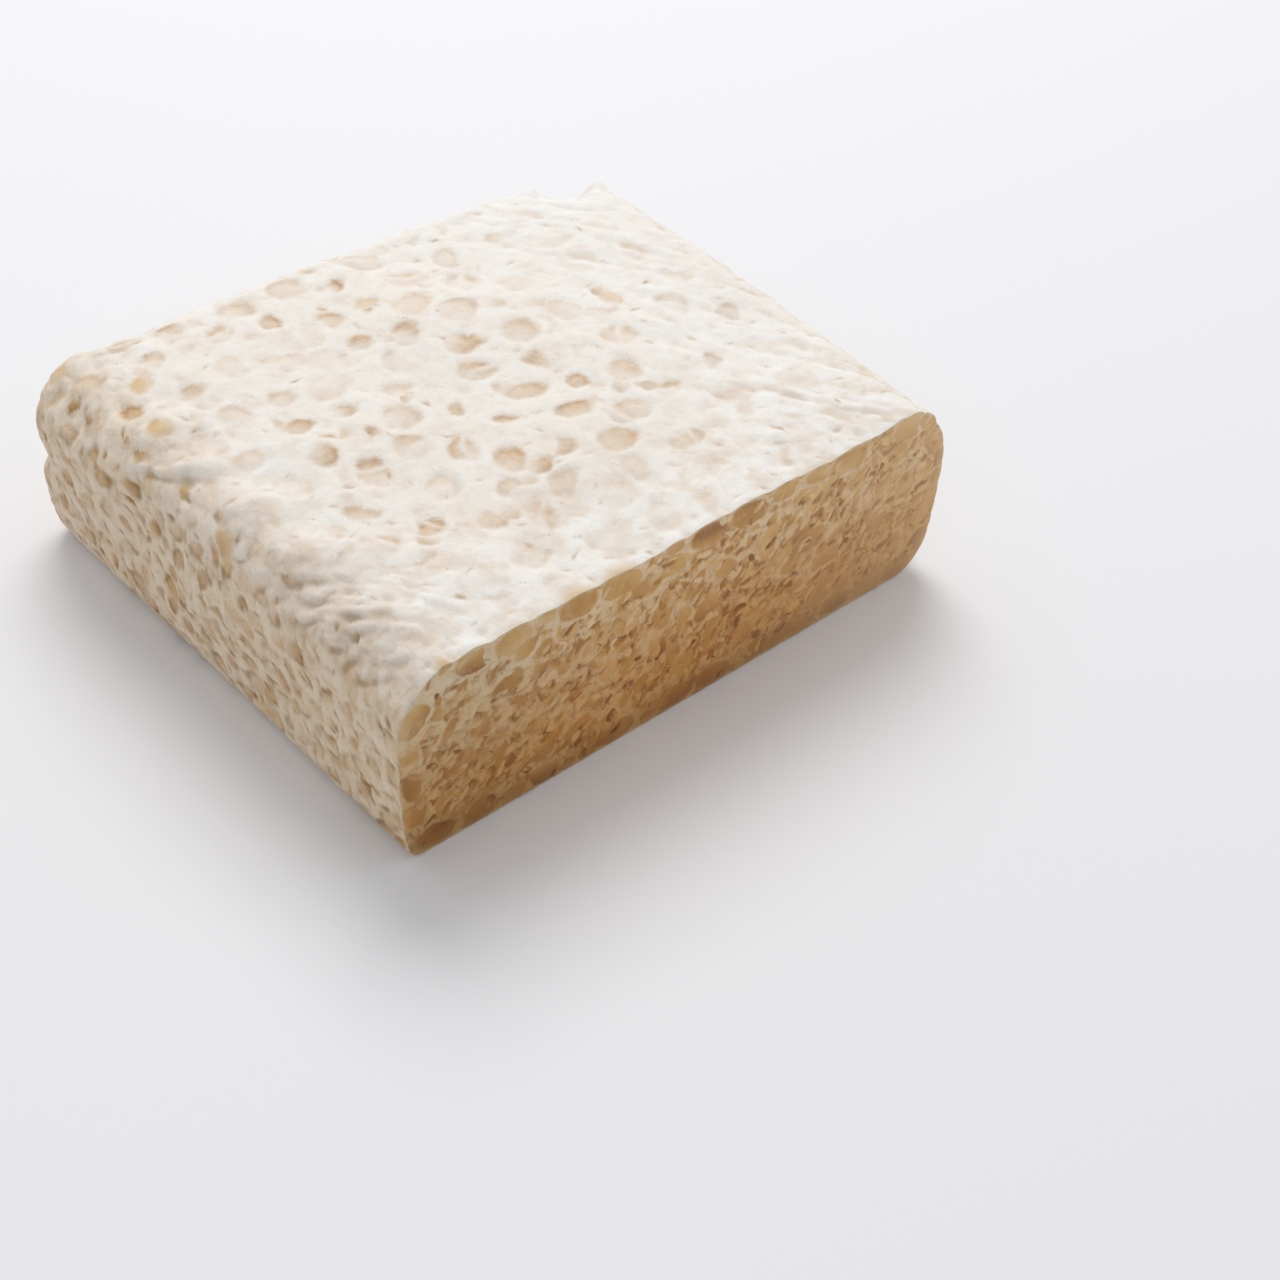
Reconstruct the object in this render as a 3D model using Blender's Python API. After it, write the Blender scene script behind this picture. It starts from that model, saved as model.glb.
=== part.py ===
"""Tempeh cake: a thick slab of soybeans bound by white mould, grown in a tray or bag, with one end sliced off flat.

One solid in one node. It lies on its flat underside. X runs along the cut, Y from the cut to the closed end, Z up.
The slab is a sharp box whose edges are rounded by elliptic quarter turns, each side with its own sizes, then bent by
a few broad waves, the pinch of the bag's seam round the closed end and the sag of the skin at the shoulders.
Lengths below are millimetres; the finished mesh is scaled to metres once, at the end.
"""

import math

import bmesh
import bpy
import numpy as np

# Overall sizes of the sharp box.
WIDTH = 140.8  # X, along the cut
LENGTH = 126.4  # Y, from the cut to the closed end
HEIGHT = 44.2  # Z

# How far each edge's rounding reaches in from the box: (at the underside, at the top).
REACH_LEFT = (5.0, 11.0)
REACH_RIGHT = (9.0, 13.0)
REACH_BACK = (4.5, 10.0)
# How far the roundings reach down from the top and up from the underside: (left side, right side).
DROP_TOP = (14.0, 20.0)
RISE_FOOT = (7.0, 10.0)

# The pinch that the bag's seam leaves round the closed end, fading along both sides.
SEAM_HEIGHT = 21.5
SEAM_WIDTH = 3.4
SEAM_DEPTH = 2.3
SEAM_FADE = 13.0  # along the sides, from the closed end

# Broad waves of the top and of the side walls.
TOP_WAVE = 0.55
SIDE_WAVE = 0.45
LEFT_BELLY = 0.6  # how far the left wall leans out at two thirds of its height
BACK_LEAN = 1.4  # how far the closed end's foot stays back from its shoulder
SPREAD_LEFT = 1.6  # how much wider the slab is at the closed end than at the cut
SPREAD_RIGHT = 7.6
BACK_SAG = 1.8  # how much lower the top is at the closed end
CORNER_SAG = 1.3  # and lower still at its left corner
SHOULDER_LUMPS = 0.45  # soft lumps of the skin over the left shoulder
CORNER_FOOT = (1.7, 0.8)  # extra retreat of the foot below the left back corner, (along Y, along X)
# The right back corner of the top is sunk between two pleats of the skin that stand up beside it.
SINK_FROM = (127.9, 105.5)  # where the top begins to fall towards the corner
SINK_DEPTH = 7.0
SINK_RUN = (-1.5, 12.5)  # how far out the fall begins and ends
SINK_LEFT = (-21.0, 1.0)  # across the corner: a long slope on the left
SINK_RIGHT = (0.5, 6.6)  # and a steeper side on the right, whose upper end is the right pleat
PLEAT = (-9.5, 2.6, 0.50)  # the left pleat: where across the corner, how wide, how much of the depth it spans

# Mesh spacing of the modelled surface.
CELLS_X, CELLS_Y, CELLS_Z = 30, 28, 9

METRE = 0.001


def smoothstep(a, b, x):
    t = np.clip((x - a) / (b - a), 0.0, 1.0)
    return t * t * (3.0 - 2.0 * t)


def mix(pair, t):
    return pair[0] + (pair[1] - pair[0]) * t


def waves(x, y, seed, shortest, longest, count=7):
    """A smooth uneven field of about -1 to 1: a few sine waves whose directions and lengths come from one seed."""
    draw = np.random.RandomState(seed)
    total = np.zeros_like(x)
    for _ in range(count):
        angle = draw.uniform(0.0, math.pi)
        length = draw.uniform(shortest, longest)
        phase = draw.uniform(0.0, 2.0 * math.pi)
        total += np.sin(2.0 * math.pi * (x * math.cos(angle) + y * math.sin(angle)) / length + phase)
    return total / math.sqrt(count)


def rounded(q):
    """Points of the sharp box moved to the rounded slab. The cut end at y = 0 keeps its sharp rim."""
    x, y, z = q[:, 0], q[:, 1], q[:, 2]
    up = smoothstep(0.0, HEIGHT, z)
    across = smoothstep(0.0, WIDTH, x)
    left, right, back = mix(REACH_LEFT, up), mix(REACH_RIGHT, up), mix(REACH_BACK, up)
    top, foot = mix(DROP_TOP, across), mix(RISE_FOOT, across)
    cx = np.clip(x, left, WIDTH - right)
    cy = np.clip(y, 0.0, LENGTH - back)
    cz = np.clip(z, foot, HEIGHT - top)
    dx, dy, dz = x - cx, y - cy, z - cz
    sx = np.where(dx < 0, left, right)
    sz = np.where(dz < 0, foot, top)
    ux, uy, uz = dx / sx, dy / back, dz / sz
    longest = np.maximum(np.maximum(np.abs(ux), np.abs(uy)), np.abs(uz))
    length = np.sqrt(ux * ux + uy * uy + uz * uz)
    keep = np.where(length > 1e-9, longest / np.maximum(length, 1e-9), 1.0)
    return np.column_stack([cx + dx * keep, cy + dy * keep, cz + dz * keep])


def corner_sink(x, y):
    """How far the top is sunk at the right back corner."""
    dx, dy = x - SINK_FROM[0], y - SINK_FROM[1]
    along, across = 0.66 * dx + 0.75 * dy, 0.75 * dx - 0.66 * dy
    between = smoothstep(*SINK_LEFT, across) * (1.0 - smoothstep(*SINK_RIGHT, across))
    pleat = 1.0 - PLEAT[2] * np.exp(-(((across - PLEAT[0]) / PLEAT[1]) ** 2))
    return SINK_DEPTH * smoothstep(*SINK_RUN, along) * between * pleat


def bent(q, p):
    """The rounded points p, bent as the real slab is. q are the same points on the sharp box."""
    x, y, z = q[:, 0], q[:, 1], q[:, 2]
    out = p.copy()
    # How much a point belongs to each outer side: 1 on it, 0 well inside.
    on_left = 1.0 - smoothstep(0.0, 16.0, x)
    on_right = smoothstep(WIDTH - 20.0, WIDTH, x)
    on_back = smoothstep(LENGTH - 16.0, LENGTH, y)
    on_top = smoothstep(0.45 * HEIGHT, HEIGHT, z)
    wall = smoothstep(0.0, 6.0, z) * (1.0 - smoothstep(HEIGHT - 8.0, HEIGHT, z))
    # The top rises and falls gently.
    out[:, 2] += on_top * TOP_WAVE * waves(x, y, 11, 38.0, 85.0)
    out[:, 2] += on_top * 0.9 * np.exp(-(((x - 117.0) / 16.0) ** 2)) * (1.0 - smoothstep(0.0, 50.0, y))
    out[:, 2] -= on_top * BACK_SAG * smoothstep(LENGTH - 50.0, LENGTH, y)
    out[:, 2] -= on_top * CORNER_SAG * smoothstep(LENGTH - 28.0, LENGTH, y) * (1.0 - smoothstep(0.0, 28.0, x))
    shoulder = on_top * (1.0 - smoothstep(14.0, 38.0, x)) * smoothstep(2.0, 14.0, y)
    out[:, 2] += shoulder * SHOULDER_LUMPS * waves(x, y, 67, 13.0, 24.0)
    # The slab widens towards the closed end.
    run = np.clip(y / LENGTH, 0.0, 1.0)
    out[:, 0] -= (1.0 - smoothstep(0.0, 50.0, x)) * SPREAD_LEFT * run * run
    out[:, 0] += smoothstep(WIDTH - 50.0, WIDTH, x) * SPREAD_RIGHT * run * (2.0 - run)
    # The left wall leans out towards its shoulder, and its foot keeps a shallow curve in plan.
    out[:, 0] -= on_left * LEFT_BELLY * smoothstep(4.0, 0.7 * HEIGHT, z) * (1.0 - smoothstep(0.82 * HEIGHT, HEIGHT, z))
    out[:, 0] -= on_left * wall * SIDE_WAVE * waves(y, z, 23, 26.0, 60.0)
    out[:, 0] += on_right * wall * SIDE_WAVE * waves(y, z, 37, 26.0, 60.0)
    out[:, 1] += on_back * wall * SIDE_WAVE * waves(x, z, 41, 26.0, 60.0)
    # The closed end's foot stays back, more so near the left corner.
    foot = 1.0 - smoothstep(2.0, 0.45 * HEIGHT, z)
    out[:, 1] -= on_back * foot * (BACK_LEAN + CORNER_FOOT[0] * (1.0 - smoothstep(0.0, 40.0, x)))
    out[:, 0] += on_left * foot * CORNER_FOOT[1] * smoothstep(LENGTH - 34.0, LENGTH, y)
    # The bag's seam pinches the closed end at mid height and runs out along both sides.
    rise = SEAM_HEIGHT + 0.9 * np.sin(x / 17.0) + 0.5 * np.sin(x / 6.1)
    pinch = SEAM_DEPTH * np.exp(-(((z - rise) / SEAM_WIDTH) ** 2))
    run_out = smoothstep(LENGTH - SEAM_FADE, LENGTH, y)
    out[:, 1] -= on_back * pinch
    out[:, 0] += on_left * pinch * run_out
    out[:, 0] -= on_right * pinch * run_out
    out[:, 2] -= on_top * corner_sink(out[:, 0], out[:, 1])
    return out


def slab(q):
    """The slab's surface point for each point of the sharp box, in millimetres, before it is centred."""
    q = np.asarray(q, float)
    return bent(q, rounded(q))


def stations(size, low, high, cells):
    """Positions from 0 to size: three steps across each rounded edge, even steps between."""
    edge_low = [low * t for t in (0.0, 0.22, 0.5, 0.8)] if low else [0.0]
    edge_high = [size - high * t for t in (0.8, 0.5, 0.22, 0.0)] if high else [size]
    a, b = edge_low[-1], edge_high[0]
    inner = [a + (b - a) * i / cells for i in range(1, cells)]
    return edge_low + inner + edge_high


def clear_scene():
    for obj in list(bpy.data.objects):
        bpy.data.objects.remove(obj, do_unlink=True)


def skin_material():
    material = bpy.data.materials.new("mould_skin")
    material.use_nodes = True
    shader = material.node_tree.nodes["Principled BSDF"]
    shader.inputs["Base Color"].default_value = (0.83, 0.79, 0.71, 1.0)
    shader.inputs["Roughness"].default_value = 0.78
    shader.inputs["Metallic"].default_value = 0.0
    return material


def cut_material():
    material = bpy.data.materials.new("cut_beans")
    material.use_nodes = True
    shader = material.node_tree.nodes["Principled BSDF"]
    shader.inputs["Base Color"].default_value = (0.66, 0.50, 0.28, 1.0)
    shader.inputs["Roughness"].default_value = 0.6
    shader.inputs["Metallic"].default_value = 0.0
    return material


def box_shell(bm, xs, ys, zs):
    """The six sides of a sharp box as a grid of quads that share their vertices along the edges."""
    made = {}

    def vert(i, j, k):
        key = (i, j, k)
        if key not in made:
            made[key] = bm.verts.new((xs[i], ys[j], zs[k]))
        return made[key]

    nx, ny, nz = len(xs) - 1, len(ys) - 1, len(zs) - 1
    for i in range(nx):
        for j in range(ny):
            bm.faces.new([vert(i, j, nz), vert(i + 1, j, nz), vert(i + 1, j + 1, nz), vert(i, j + 1, nz)])
            bm.faces.new([vert(i, j, 0), vert(i, j + 1, 0), vert(i + 1, j + 1, 0), vert(i + 1, j, 0)])
        for k in range(nz):
            bm.faces.new([vert(i, 0, k), vert(i + 1, 0, k), vert(i + 1, 0, k + 1), vert(i, 0, k + 1)])
            bm.faces.new([vert(i, ny, k), vert(i, ny, k + 1), vert(i + 1, ny, k + 1), vert(i + 1, ny, k)])
    for j in range(ny):
        for k in range(nz):
            bm.faces.new([vert(0, j, k), vert(0, j, k + 1), vert(0, j + 1, k + 1), vert(0, j + 1, k)])
            bm.faces.new([vert(nx, j, k), vert(nx, j + 1, k), vert(nx, j + 1, k + 1), vert(nx, j, k + 1)])


def build_block():
    """A gridded box whose points are moved to the slab's surface; the cut end and the flat underside are one face each."""
    bm = bmesh.new()
    xs = stations(WIDTH, REACH_LEFT[1], REACH_RIGHT[1], CELLS_X)
    ys = stations(LENGTH, 0.0, REACH_BACK[1], CELLS_Y)
    zs = stations(HEIGHT, RISE_FOOT[0], DROP_TOP[0], CELLS_Z)
    box_shell(bm, xs, ys, zs)
    bm.verts.ensure_lookup_table()
    verts = list(bm.verts)
    shaped = slab([tuple(v.co) for v in verts])
    shaped[:, 2] -= shaped[:, 2].min()
    low, high = shaped.min(0), shaped.max(0)
    shaped[:, 0] -= (low[0] + high[0]) / 2.0
    shaped[:, 1] -= (low[1] + high[1]) / 2.0
    front = shaped[:, 1].min()
    for v, p in zip(verts, shaped):
        v.co = p * METRE
    for level, axis in ((front, 1), (0.0, 2)):
        flat = [f for f in bm.faces if all(abs(v.co[axis] - level * METRE) < 2e-6 for v in f.verts)]
        bmesh.ops.dissolve_faces(bm, faces=flat, use_verts=False)

    mesh = bpy.data.meshes.new("tempeh_block")
    bm.to_mesh(mesh)
    bm.free()
    mesh.materials.append(skin_material())
    mesh.materials.append(cut_material())
    front = min(v.co.y for v in mesh.vertices)
    for polygon in mesh.polygons:
        flat_end = all(mesh.vertices[i].co.y < front + 1e-5 for i in polygon.vertices)
        polygon.material_index = 1 if flat_end else 0
    mesh.shade_smooth()
    mesh.set_sharp_from_angle(angle=math.radians(38.0))
    block = bpy.data.objects.new("tempeh_block", mesh)
    bpy.context.scene.collection.objects.link(block)
    return block


clear_scene()
build_block()
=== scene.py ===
"""Looks of the tempeh cake: a mould skin with beans showing through it, and a cut end of packed bean sections.

Lengths are millimetres until a mesh is made, which is in metres in the CAD's own frame.
"""

import math

import bpy
import numpy as np
from mathutils import Matrix, Vector
from mathutils.geometry import delaunay_2d_cdt


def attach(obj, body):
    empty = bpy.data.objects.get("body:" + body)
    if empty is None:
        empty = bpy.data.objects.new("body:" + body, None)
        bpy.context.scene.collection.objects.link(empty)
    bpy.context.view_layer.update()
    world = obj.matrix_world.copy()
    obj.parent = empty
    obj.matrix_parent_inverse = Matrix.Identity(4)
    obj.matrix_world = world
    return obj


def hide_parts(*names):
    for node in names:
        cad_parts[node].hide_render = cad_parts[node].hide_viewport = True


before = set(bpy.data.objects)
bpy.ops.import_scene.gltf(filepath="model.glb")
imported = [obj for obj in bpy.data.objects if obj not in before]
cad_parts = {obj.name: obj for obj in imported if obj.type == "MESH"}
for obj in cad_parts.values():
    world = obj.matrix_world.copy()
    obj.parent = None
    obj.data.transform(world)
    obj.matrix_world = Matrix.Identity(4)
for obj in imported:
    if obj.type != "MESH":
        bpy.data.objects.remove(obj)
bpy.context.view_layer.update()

METRE = 0.001

# ---------------------------------------------------------------- the slab's shape, the same rule as the CAD's

WIDTH, LENGTH, HEIGHT = 140.8, 126.4, 44.2
REACH_LEFT, REACH_RIGHT, REACH_BACK = (5.0, 11.0), (9.0, 13.0), (4.5, 10.0)
DROP_TOP, RISE_FOOT = (14.0, 20.0), (7.0, 10.0)
SEAM_HEIGHT, SEAM_WIDTH, SEAM_DEPTH, SEAM_FADE = 21.5, 3.4, 2.3, 13.0
TOP_WAVE, SIDE_WAVE, LEFT_BELLY, BACK_LEAN = 0.55, 0.45, 0.6, 1.4
SPREAD_LEFT, SPREAD_RIGHT, BACK_SAG, CORNER_SAG = 1.6, 7.6, 1.8, 1.3
SHOULDER_LUMPS, CORNER_FOOT = 0.45, (1.7, 0.8)
SINK_FROM, SINK_DEPTH, SINK_RUN, SINK_LEFT, SINK_RIGHT, PLEAT = (127.9, 105.5), 7.0, (-1.5, 12.5), (-21.0, 1.0), (0.5, 6.6), (-9.5, 2.6, 0.50)


def smoothstep(a, b, x):
    t = np.clip((x - a) / (b - a), 0.0, 1.0)
    return t * t * (3.0 - 2.0 * t)


def mix(pair, t):
    return pair[0] + (pair[1] - pair[0]) * t


def waves(x, y, seed, shortest, longest, count=7):
    draw = np.random.RandomState(seed)
    total = np.zeros_like(x)
    for _ in range(count):
        angle = draw.uniform(0.0, math.pi)
        length = draw.uniform(shortest, longest)
        phase = draw.uniform(0.0, 2.0 * math.pi)
        total += np.sin(2.0 * math.pi * (x * math.cos(angle) + y * math.sin(angle)) / length + phase)
    return total / math.sqrt(count)


def rounded(q):
    x, y, z = q[:, 0], q[:, 1], q[:, 2]
    up = smoothstep(0.0, HEIGHT, z)
    across = smoothstep(0.0, WIDTH, x)
    left, right, back = mix(REACH_LEFT, up), mix(REACH_RIGHT, up), mix(REACH_BACK, up)
    top, foot = mix(DROP_TOP, across), mix(RISE_FOOT, across)
    cx = np.clip(x, left, WIDTH - right)
    cy = np.clip(y, 0.0, LENGTH - back)
    cz = np.clip(z, foot, HEIGHT - top)
    dx, dy, dz = x - cx, y - cy, z - cz
    sx = np.where(dx < 0, left, right)
    sz = np.where(dz < 0, foot, top)
    ux, uy, uz = dx / sx, dy / back, dz / sz
    longest = np.maximum(np.maximum(np.abs(ux), np.abs(uy)), np.abs(uz))
    length = np.sqrt(ux * ux + uy * uy + uz * uz)
    keep = np.where(length > 1e-9, longest / np.maximum(length, 1e-9), 1.0)
    return np.column_stack([cx + dx * keep, cy + dy * keep, cz + dz * keep])


def corner_frame(x, y):
    """Distances out towards the sunken corner and across it."""
    dx, dy = x - SINK_FROM[0], y - SINK_FROM[1]
    return 0.66 * dx + 0.75 * dy, 0.75 * dx - 0.66 * dy


def corner_sink(x, y):
    along, across = corner_frame(x, y)
    between = smoothstep(*SINK_LEFT, across) * (1.0 - smoothstep(*SINK_RIGHT, across))
    pleat = 1.0 - PLEAT[2] * np.exp(-(((across - PLEAT[0]) / PLEAT[1]) ** 2))
    return SINK_DEPTH * smoothstep(*SINK_RUN, along) * between * pleat


def slab(q, sunk=True):
    q = np.asarray(q, float)
    out = rounded(q)
    x, y, z = q[:, 0], q[:, 1], q[:, 2]
    on_left = 1.0 - smoothstep(0.0, 16.0, x)
    on_right = smoothstep(WIDTH - 20.0, WIDTH, x)
    on_back = smoothstep(LENGTH - 16.0, LENGTH, y)
    on_top = smoothstep(0.45 * HEIGHT, HEIGHT, z)
    wall = smoothstep(0.0, 6.0, z) * (1.0 - smoothstep(HEIGHT - 8.0, HEIGHT, z))
    out[:, 2] += on_top * TOP_WAVE * waves(x, y, 11, 38.0, 85.0)
    out[:, 2] += on_top * 0.9 * np.exp(-(((x - 117.0) / 16.0) ** 2)) * (1.0 - smoothstep(0.0, 50.0, y))
    out[:, 2] -= on_top * BACK_SAG * smoothstep(LENGTH - 50.0, LENGTH, y)
    out[:, 2] -= on_top * CORNER_SAG * smoothstep(LENGTH - 28.0, LENGTH, y) * (1.0 - smoothstep(0.0, 28.0, x))
    shoulder = on_top * (1.0 - smoothstep(14.0, 38.0, x)) * smoothstep(2.0, 14.0, y)
    out[:, 2] += shoulder * SHOULDER_LUMPS * waves(x, y, 67, 13.0, 24.0)
    run = np.clip(y / LENGTH, 0.0, 1.0)
    out[:, 0] -= (1.0 - smoothstep(0.0, 50.0, x)) * SPREAD_LEFT * run * run
    out[:, 0] += smoothstep(WIDTH - 50.0, WIDTH, x) * SPREAD_RIGHT * run * (2.0 - run)
    out[:, 0] -= on_left * LEFT_BELLY * smoothstep(4.0, 0.7 * HEIGHT, z) * (1.0 - smoothstep(0.82 * HEIGHT, HEIGHT, z))
    out[:, 0] -= on_left * wall * SIDE_WAVE * waves(y, z, 23, 26.0, 60.0)
    out[:, 0] += on_right * wall * SIDE_WAVE * waves(y, z, 37, 26.0, 60.0)
    out[:, 1] += on_back * wall * SIDE_WAVE * waves(x, z, 41, 26.0, 60.0)
    foot = 1.0 - smoothstep(2.0, 0.45 * HEIGHT, z)
    out[:, 1] -= on_back * foot * (BACK_LEAN + CORNER_FOOT[0] * (1.0 - smoothstep(0.0, 40.0, x)))
    out[:, 0] += on_left * foot * CORNER_FOOT[1] * smoothstep(LENGTH - 34.0, LENGTH, y)
    rise = SEAM_HEIGHT + 0.9 * np.sin(x / 17.0) + 0.5 * np.sin(x / 6.1)
    pinch = SEAM_DEPTH * np.exp(-(((z - rise) / SEAM_WIDTH) ** 2))
    run_out = smoothstep(LENGTH - SEAM_FADE, LENGTH, y)
    out[:, 1] -= on_back * pinch
    out[:, 0] += on_left * pinch * run_out
    out[:, 0] -= on_right * pinch * run_out
    if sunk:
        out[:, 2] -= on_top * corner_sink(out[:, 0], out[:, 1])
    return out


# ---------------------------------------------------------------- smooth noise

_draw = np.random.RandomState(20)
PERM = np.tile(_draw.permutation(256), 2)
GRAD = _draw.normal(size=(256, 3))
GRAD /= np.linalg.norm(GRAD, axis=1)[:, None]
GRAD = GRAD.astype(np.float32)


def noise(p, size, seed=0):
    """Gradient noise of about -1 to 1 at points p; size is its grain in millimetres, one number or one for each axis."""
    q = (np.asarray(p, np.float64) / np.asarray(size, float) + np.array([17.31, 9.73, 5.17]) * (seed + 1)).astype(np.float32)
    base = np.floor(q)
    f = q - base
    i = base.astype(np.int64)
    w = f * f * f * (f * (f * 6.0 - 15.0) + 10.0)
    total = np.zeros(len(q), np.float32)
    for dx in (0, 1):
        hx = PERM[(i[:, 0] + dx) & 255]
        wx = w[:, 0] if dx else 1.0 - w[:, 0]
        for dy in (0, 1):
            hy = PERM[(hx + i[:, 1] + dy) & 255]
            wy = wx * (w[:, 1] if dy else 1.0 - w[:, 1])
            for dz in (0, 1):
                g = GRAD[PERM[(hy + i[:, 2] + dz) & 255]]
                d = g[:, 0] * (f[:, 0] - dx) + g[:, 1] * (f[:, 1] - dy) + g[:, 2] * (f[:, 2] - dz)
                total += wy * (w[:, 2] if dz else 1.0 - w[:, 2]) * d
    return total * 1.7


def layers(p, size, octaves, seed, gain=0.5):
    total = np.zeros(len(p), np.float32)
    weight, norm = 1.0, 0.0
    for o in range(octaves):
        total += weight * noise(p, np.asarray(size, float) / 2.0**o, seed + 31 * o)
        norm += weight
        weight *= gain
    return total / norm


# ---------------------------------------------------------------- mesh helpers


def grid_quads(ids, flip):
    a, b, c, d = ids[:-1, :-1], ids[1:, :-1], ids[1:, 1:], ids[:-1, 1:]
    quads = np.stack([a, d, c, b] if flip else [a, b, c, d], axis=-1)
    return quads.reshape(-1, 4)


def vertex_normals(co, quads, tris=None):
    total = np.zeros_like(co)
    for faces in (quads, tris):
        if faces is None or not len(faces):
            continue
        a, b, c = co[faces[:, 0]], co[faces[:, 1]], co[faces[:, 2]]
        if faces.shape[1] == 4:
            n = np.cross(c - a, co[faces[:, 3]] - b)
        else:
            n = np.cross(b - a, c - a)
        for k in range(faces.shape[1]):
            for axis in range(3):
                total[:, axis] += np.bincount(faces[:, k], weights=n[:, axis], minlength=len(co))
    return total / np.maximum(np.linalg.norm(total, axis=1), 1e-12)[:, None]


def make_mesh(name, co, faces, material):
    """faces is a list of index arrays, each with one row for each face."""
    mesh = bpy.data.meshes.new(name)
    counts = np.concatenate([np.full(len(f), f.shape[1], np.int32) for f in faces])
    loops = np.concatenate([f.ravel() for f in faces]).astype(np.int32)
    mesh.vertices.add(len(co))
    mesh.vertices.foreach_set("co", (co * METRE).astype(np.float32).ravel())
    mesh.loops.add(len(loops))
    mesh.loops.foreach_set("vertex_index", loops)
    mesh.polygons.add(len(counts))
    starts = np.concatenate([[0], np.cumsum(counts)[:-1]]).astype(np.int32)
    mesh.polygons.foreach_set("loop_start", starts)
    mesh.polygons.foreach_set("loop_total", counts)
    mesh.update(calc_edges=True)
    mesh.validate()
    mesh.shade_smooth()
    mesh.materials.append(material)
    obj = bpy.data.objects.new(name, mesh)
    bpy.context.scene.collection.objects.link(obj)
    return obj


def sharpen(obj, ring):
    """Keeps the shading of the two sides of a closed ring of points apart."""
    mesh = obj.data
    ends = np.empty(len(mesh.edges) * 2, np.int32)
    mesh.edges.foreach_get("vertices", ends)
    member = np.zeros(len(mesh.vertices), bool)
    member[ring] = True
    on_ring = member[ends.reshape(-1, 2)].all(axis=1)
    layer = mesh.attributes.get("sharp_edge") or mesh.attributes.new("sharp_edge", "BOOLEAN", "EDGE")
    layer.data.foreach_set("value", on_ring)


def add_values(obj, **values):
    for name, data in values.items():
        layer = obj.data.attributes.new(name, "FLOAT", "POINT")
        layer.data.foreach_set("value", np.asarray(data, np.float32))


def stations(size, step, lean):
    """Positions from 0 to size, closer together at the start when lean is above 0."""
    t = np.linspace(0.0, 1.0, int(round(size / step)) + 1)
    return size * (t * (1.0 - lean) + lean * t * t)


# ---------------------------------------------------------------- the skin's grid

XS, YS, ZS = stations(WIDTH, 0.60, 0.06), stations(LENGTH, 0.60, 0.12), stations(HEIGHT, 0.74, 0.0)
NX, NY, NZ = len(XS) - 1, len(YS) - 1, len(ZS) - 1


def skin_grid():
    """The slab's outer surface as one grid of quads, open at the cut and closed by triangles underneath."""
    q = []
    count = 0

    def block(a, b, c):
        nonlocal count
        pts = np.stack([np.asarray(a, float).ravel(), np.asarray(b, float).ravel(), np.asarray(c, float).ravel()], 1)
        ids = np.arange(count, count + len(pts))
        q.append(pts)
        count += len(pts)
        return ids

    gx, gy = np.meshgrid(XS, YS, indexing="ij")
    top = block(gx, gy, np.full_like(gx, HEIGHT)).reshape(NX + 1, NY + 1)
    gy, gz = np.meshgrid(YS, ZS[:-1], indexing="ij")
    left, right = np.empty((NY + 1, NZ + 1), int), np.empty((NY + 1, NZ + 1), int)
    left[:, :NZ] = block(np.zeros_like(gy), gy, gz).reshape(NY + 1, NZ)
    right[:, :NZ] = block(np.full_like(gy, WIDTH), gy, gz).reshape(NY + 1, NZ)
    left[:, NZ], right[:, NZ] = top[0], top[NX]
    gx, gz = np.meshgrid(XS[1:-1], ZS[:-1], indexing="ij")
    back = np.empty((NX + 1, NZ + 1), int)
    back[1:NX, :NZ] = block(gx, np.full_like(gx, LENGTH), gz).reshape(NX - 1, NZ)
    back[:, NZ], back[0], back[NX] = top[:, NY], left[NY], right[NY]
    quads = np.concatenate([grid_quads(top, False), grid_quads(left, True), grid_quads(right, False), grid_quads(back, True)])

    # The underside: its outline is the walls' foot, with points closer together where it is rounded.
    front = block(XS[1:-1][::-1], np.zeros(NX - 1), np.zeros(NX - 1))
    rim = np.concatenate([left[:, 0], back[1:NX, 0], right[::-1, 0], front])
    flat = np.concatenate(q)
    inner = []
    for step, low, high in ((1.6, 1.2, 11.0), (6.0, 12.5, 1e9)):
        for x in np.arange(low, WIDTH - low + 0.01, step):
            for y in np.arange(1.2 if step < 2 else 3.0, LENGTH - low + 0.01, step):
                edge = min(x, WIDTH - x, LENGTH - y)
                if low - 0.01 <= edge < high:
                    inner.append((x, y))
    inner = np.array(inner)
    inner_ids = block(inner[:, 0], inner[:, 1], np.zeros(len(inner)))
    ids = np.concatenate([rim, inner_ids])
    flat = np.concatenate(q)[ids]
    n = len(rim)
    verts, _, faces, origin, _, _ = delaunay_2d_cdt(
        [Vector((float(a), float(b))) for a, b in flat[:, :2]], [(k, (k + 1) % n) for k in range(n)], [], 1, 1e-5
    )
    back_to = np.array([ids[o[0]] for o in origin])
    tris = np.array([[back_to[k] for k in f][::-1] for f in faces])
    q = np.concatenate(q)
    loop = np.concatenate([top[:, 0], right[0, :NZ][::-1], front, left[0, :NZ]])
    return q, quads, tris, loop


# ---------------------------------------------------------------- where beans show through the skin


def scatter(draw, co, normal, want, spacing, limit):
    """Picks points of the surface in a random order, each at least its own spacing from those picked before."""
    order = draw.permutation(len(co))
    cell = 4.0
    bins = {}
    picked = []
    for index in order:
        if want[index] <= 0.0 or draw.rand() > want[index]:
            continue
        c = co[index]
        r = spacing[index]
        key = tuple((c // cell).astype(int))
        reach = int(math.ceil(r / cell))
        ok = True
        for a in range(-reach, reach + 1):
            for b in range(-reach, reach + 1):
                for d in range(-reach, reach + 1):
                    for other in bins.get((key[0] + a, key[1] + b, key[2] + d), ()):
                        e = co[other] - c
                        if e @ e < (0.5 * (r + spacing[other])) ** 2:
                            ok = False
                            break
                    if not ok:
                        break
                if not ok:
                    break
            if not ok:
                break
        if ok:
            bins.setdefault(key, []).append(index)
            picked.append(index)
            if len(picked) >= limit:
                break
    return picked


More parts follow.
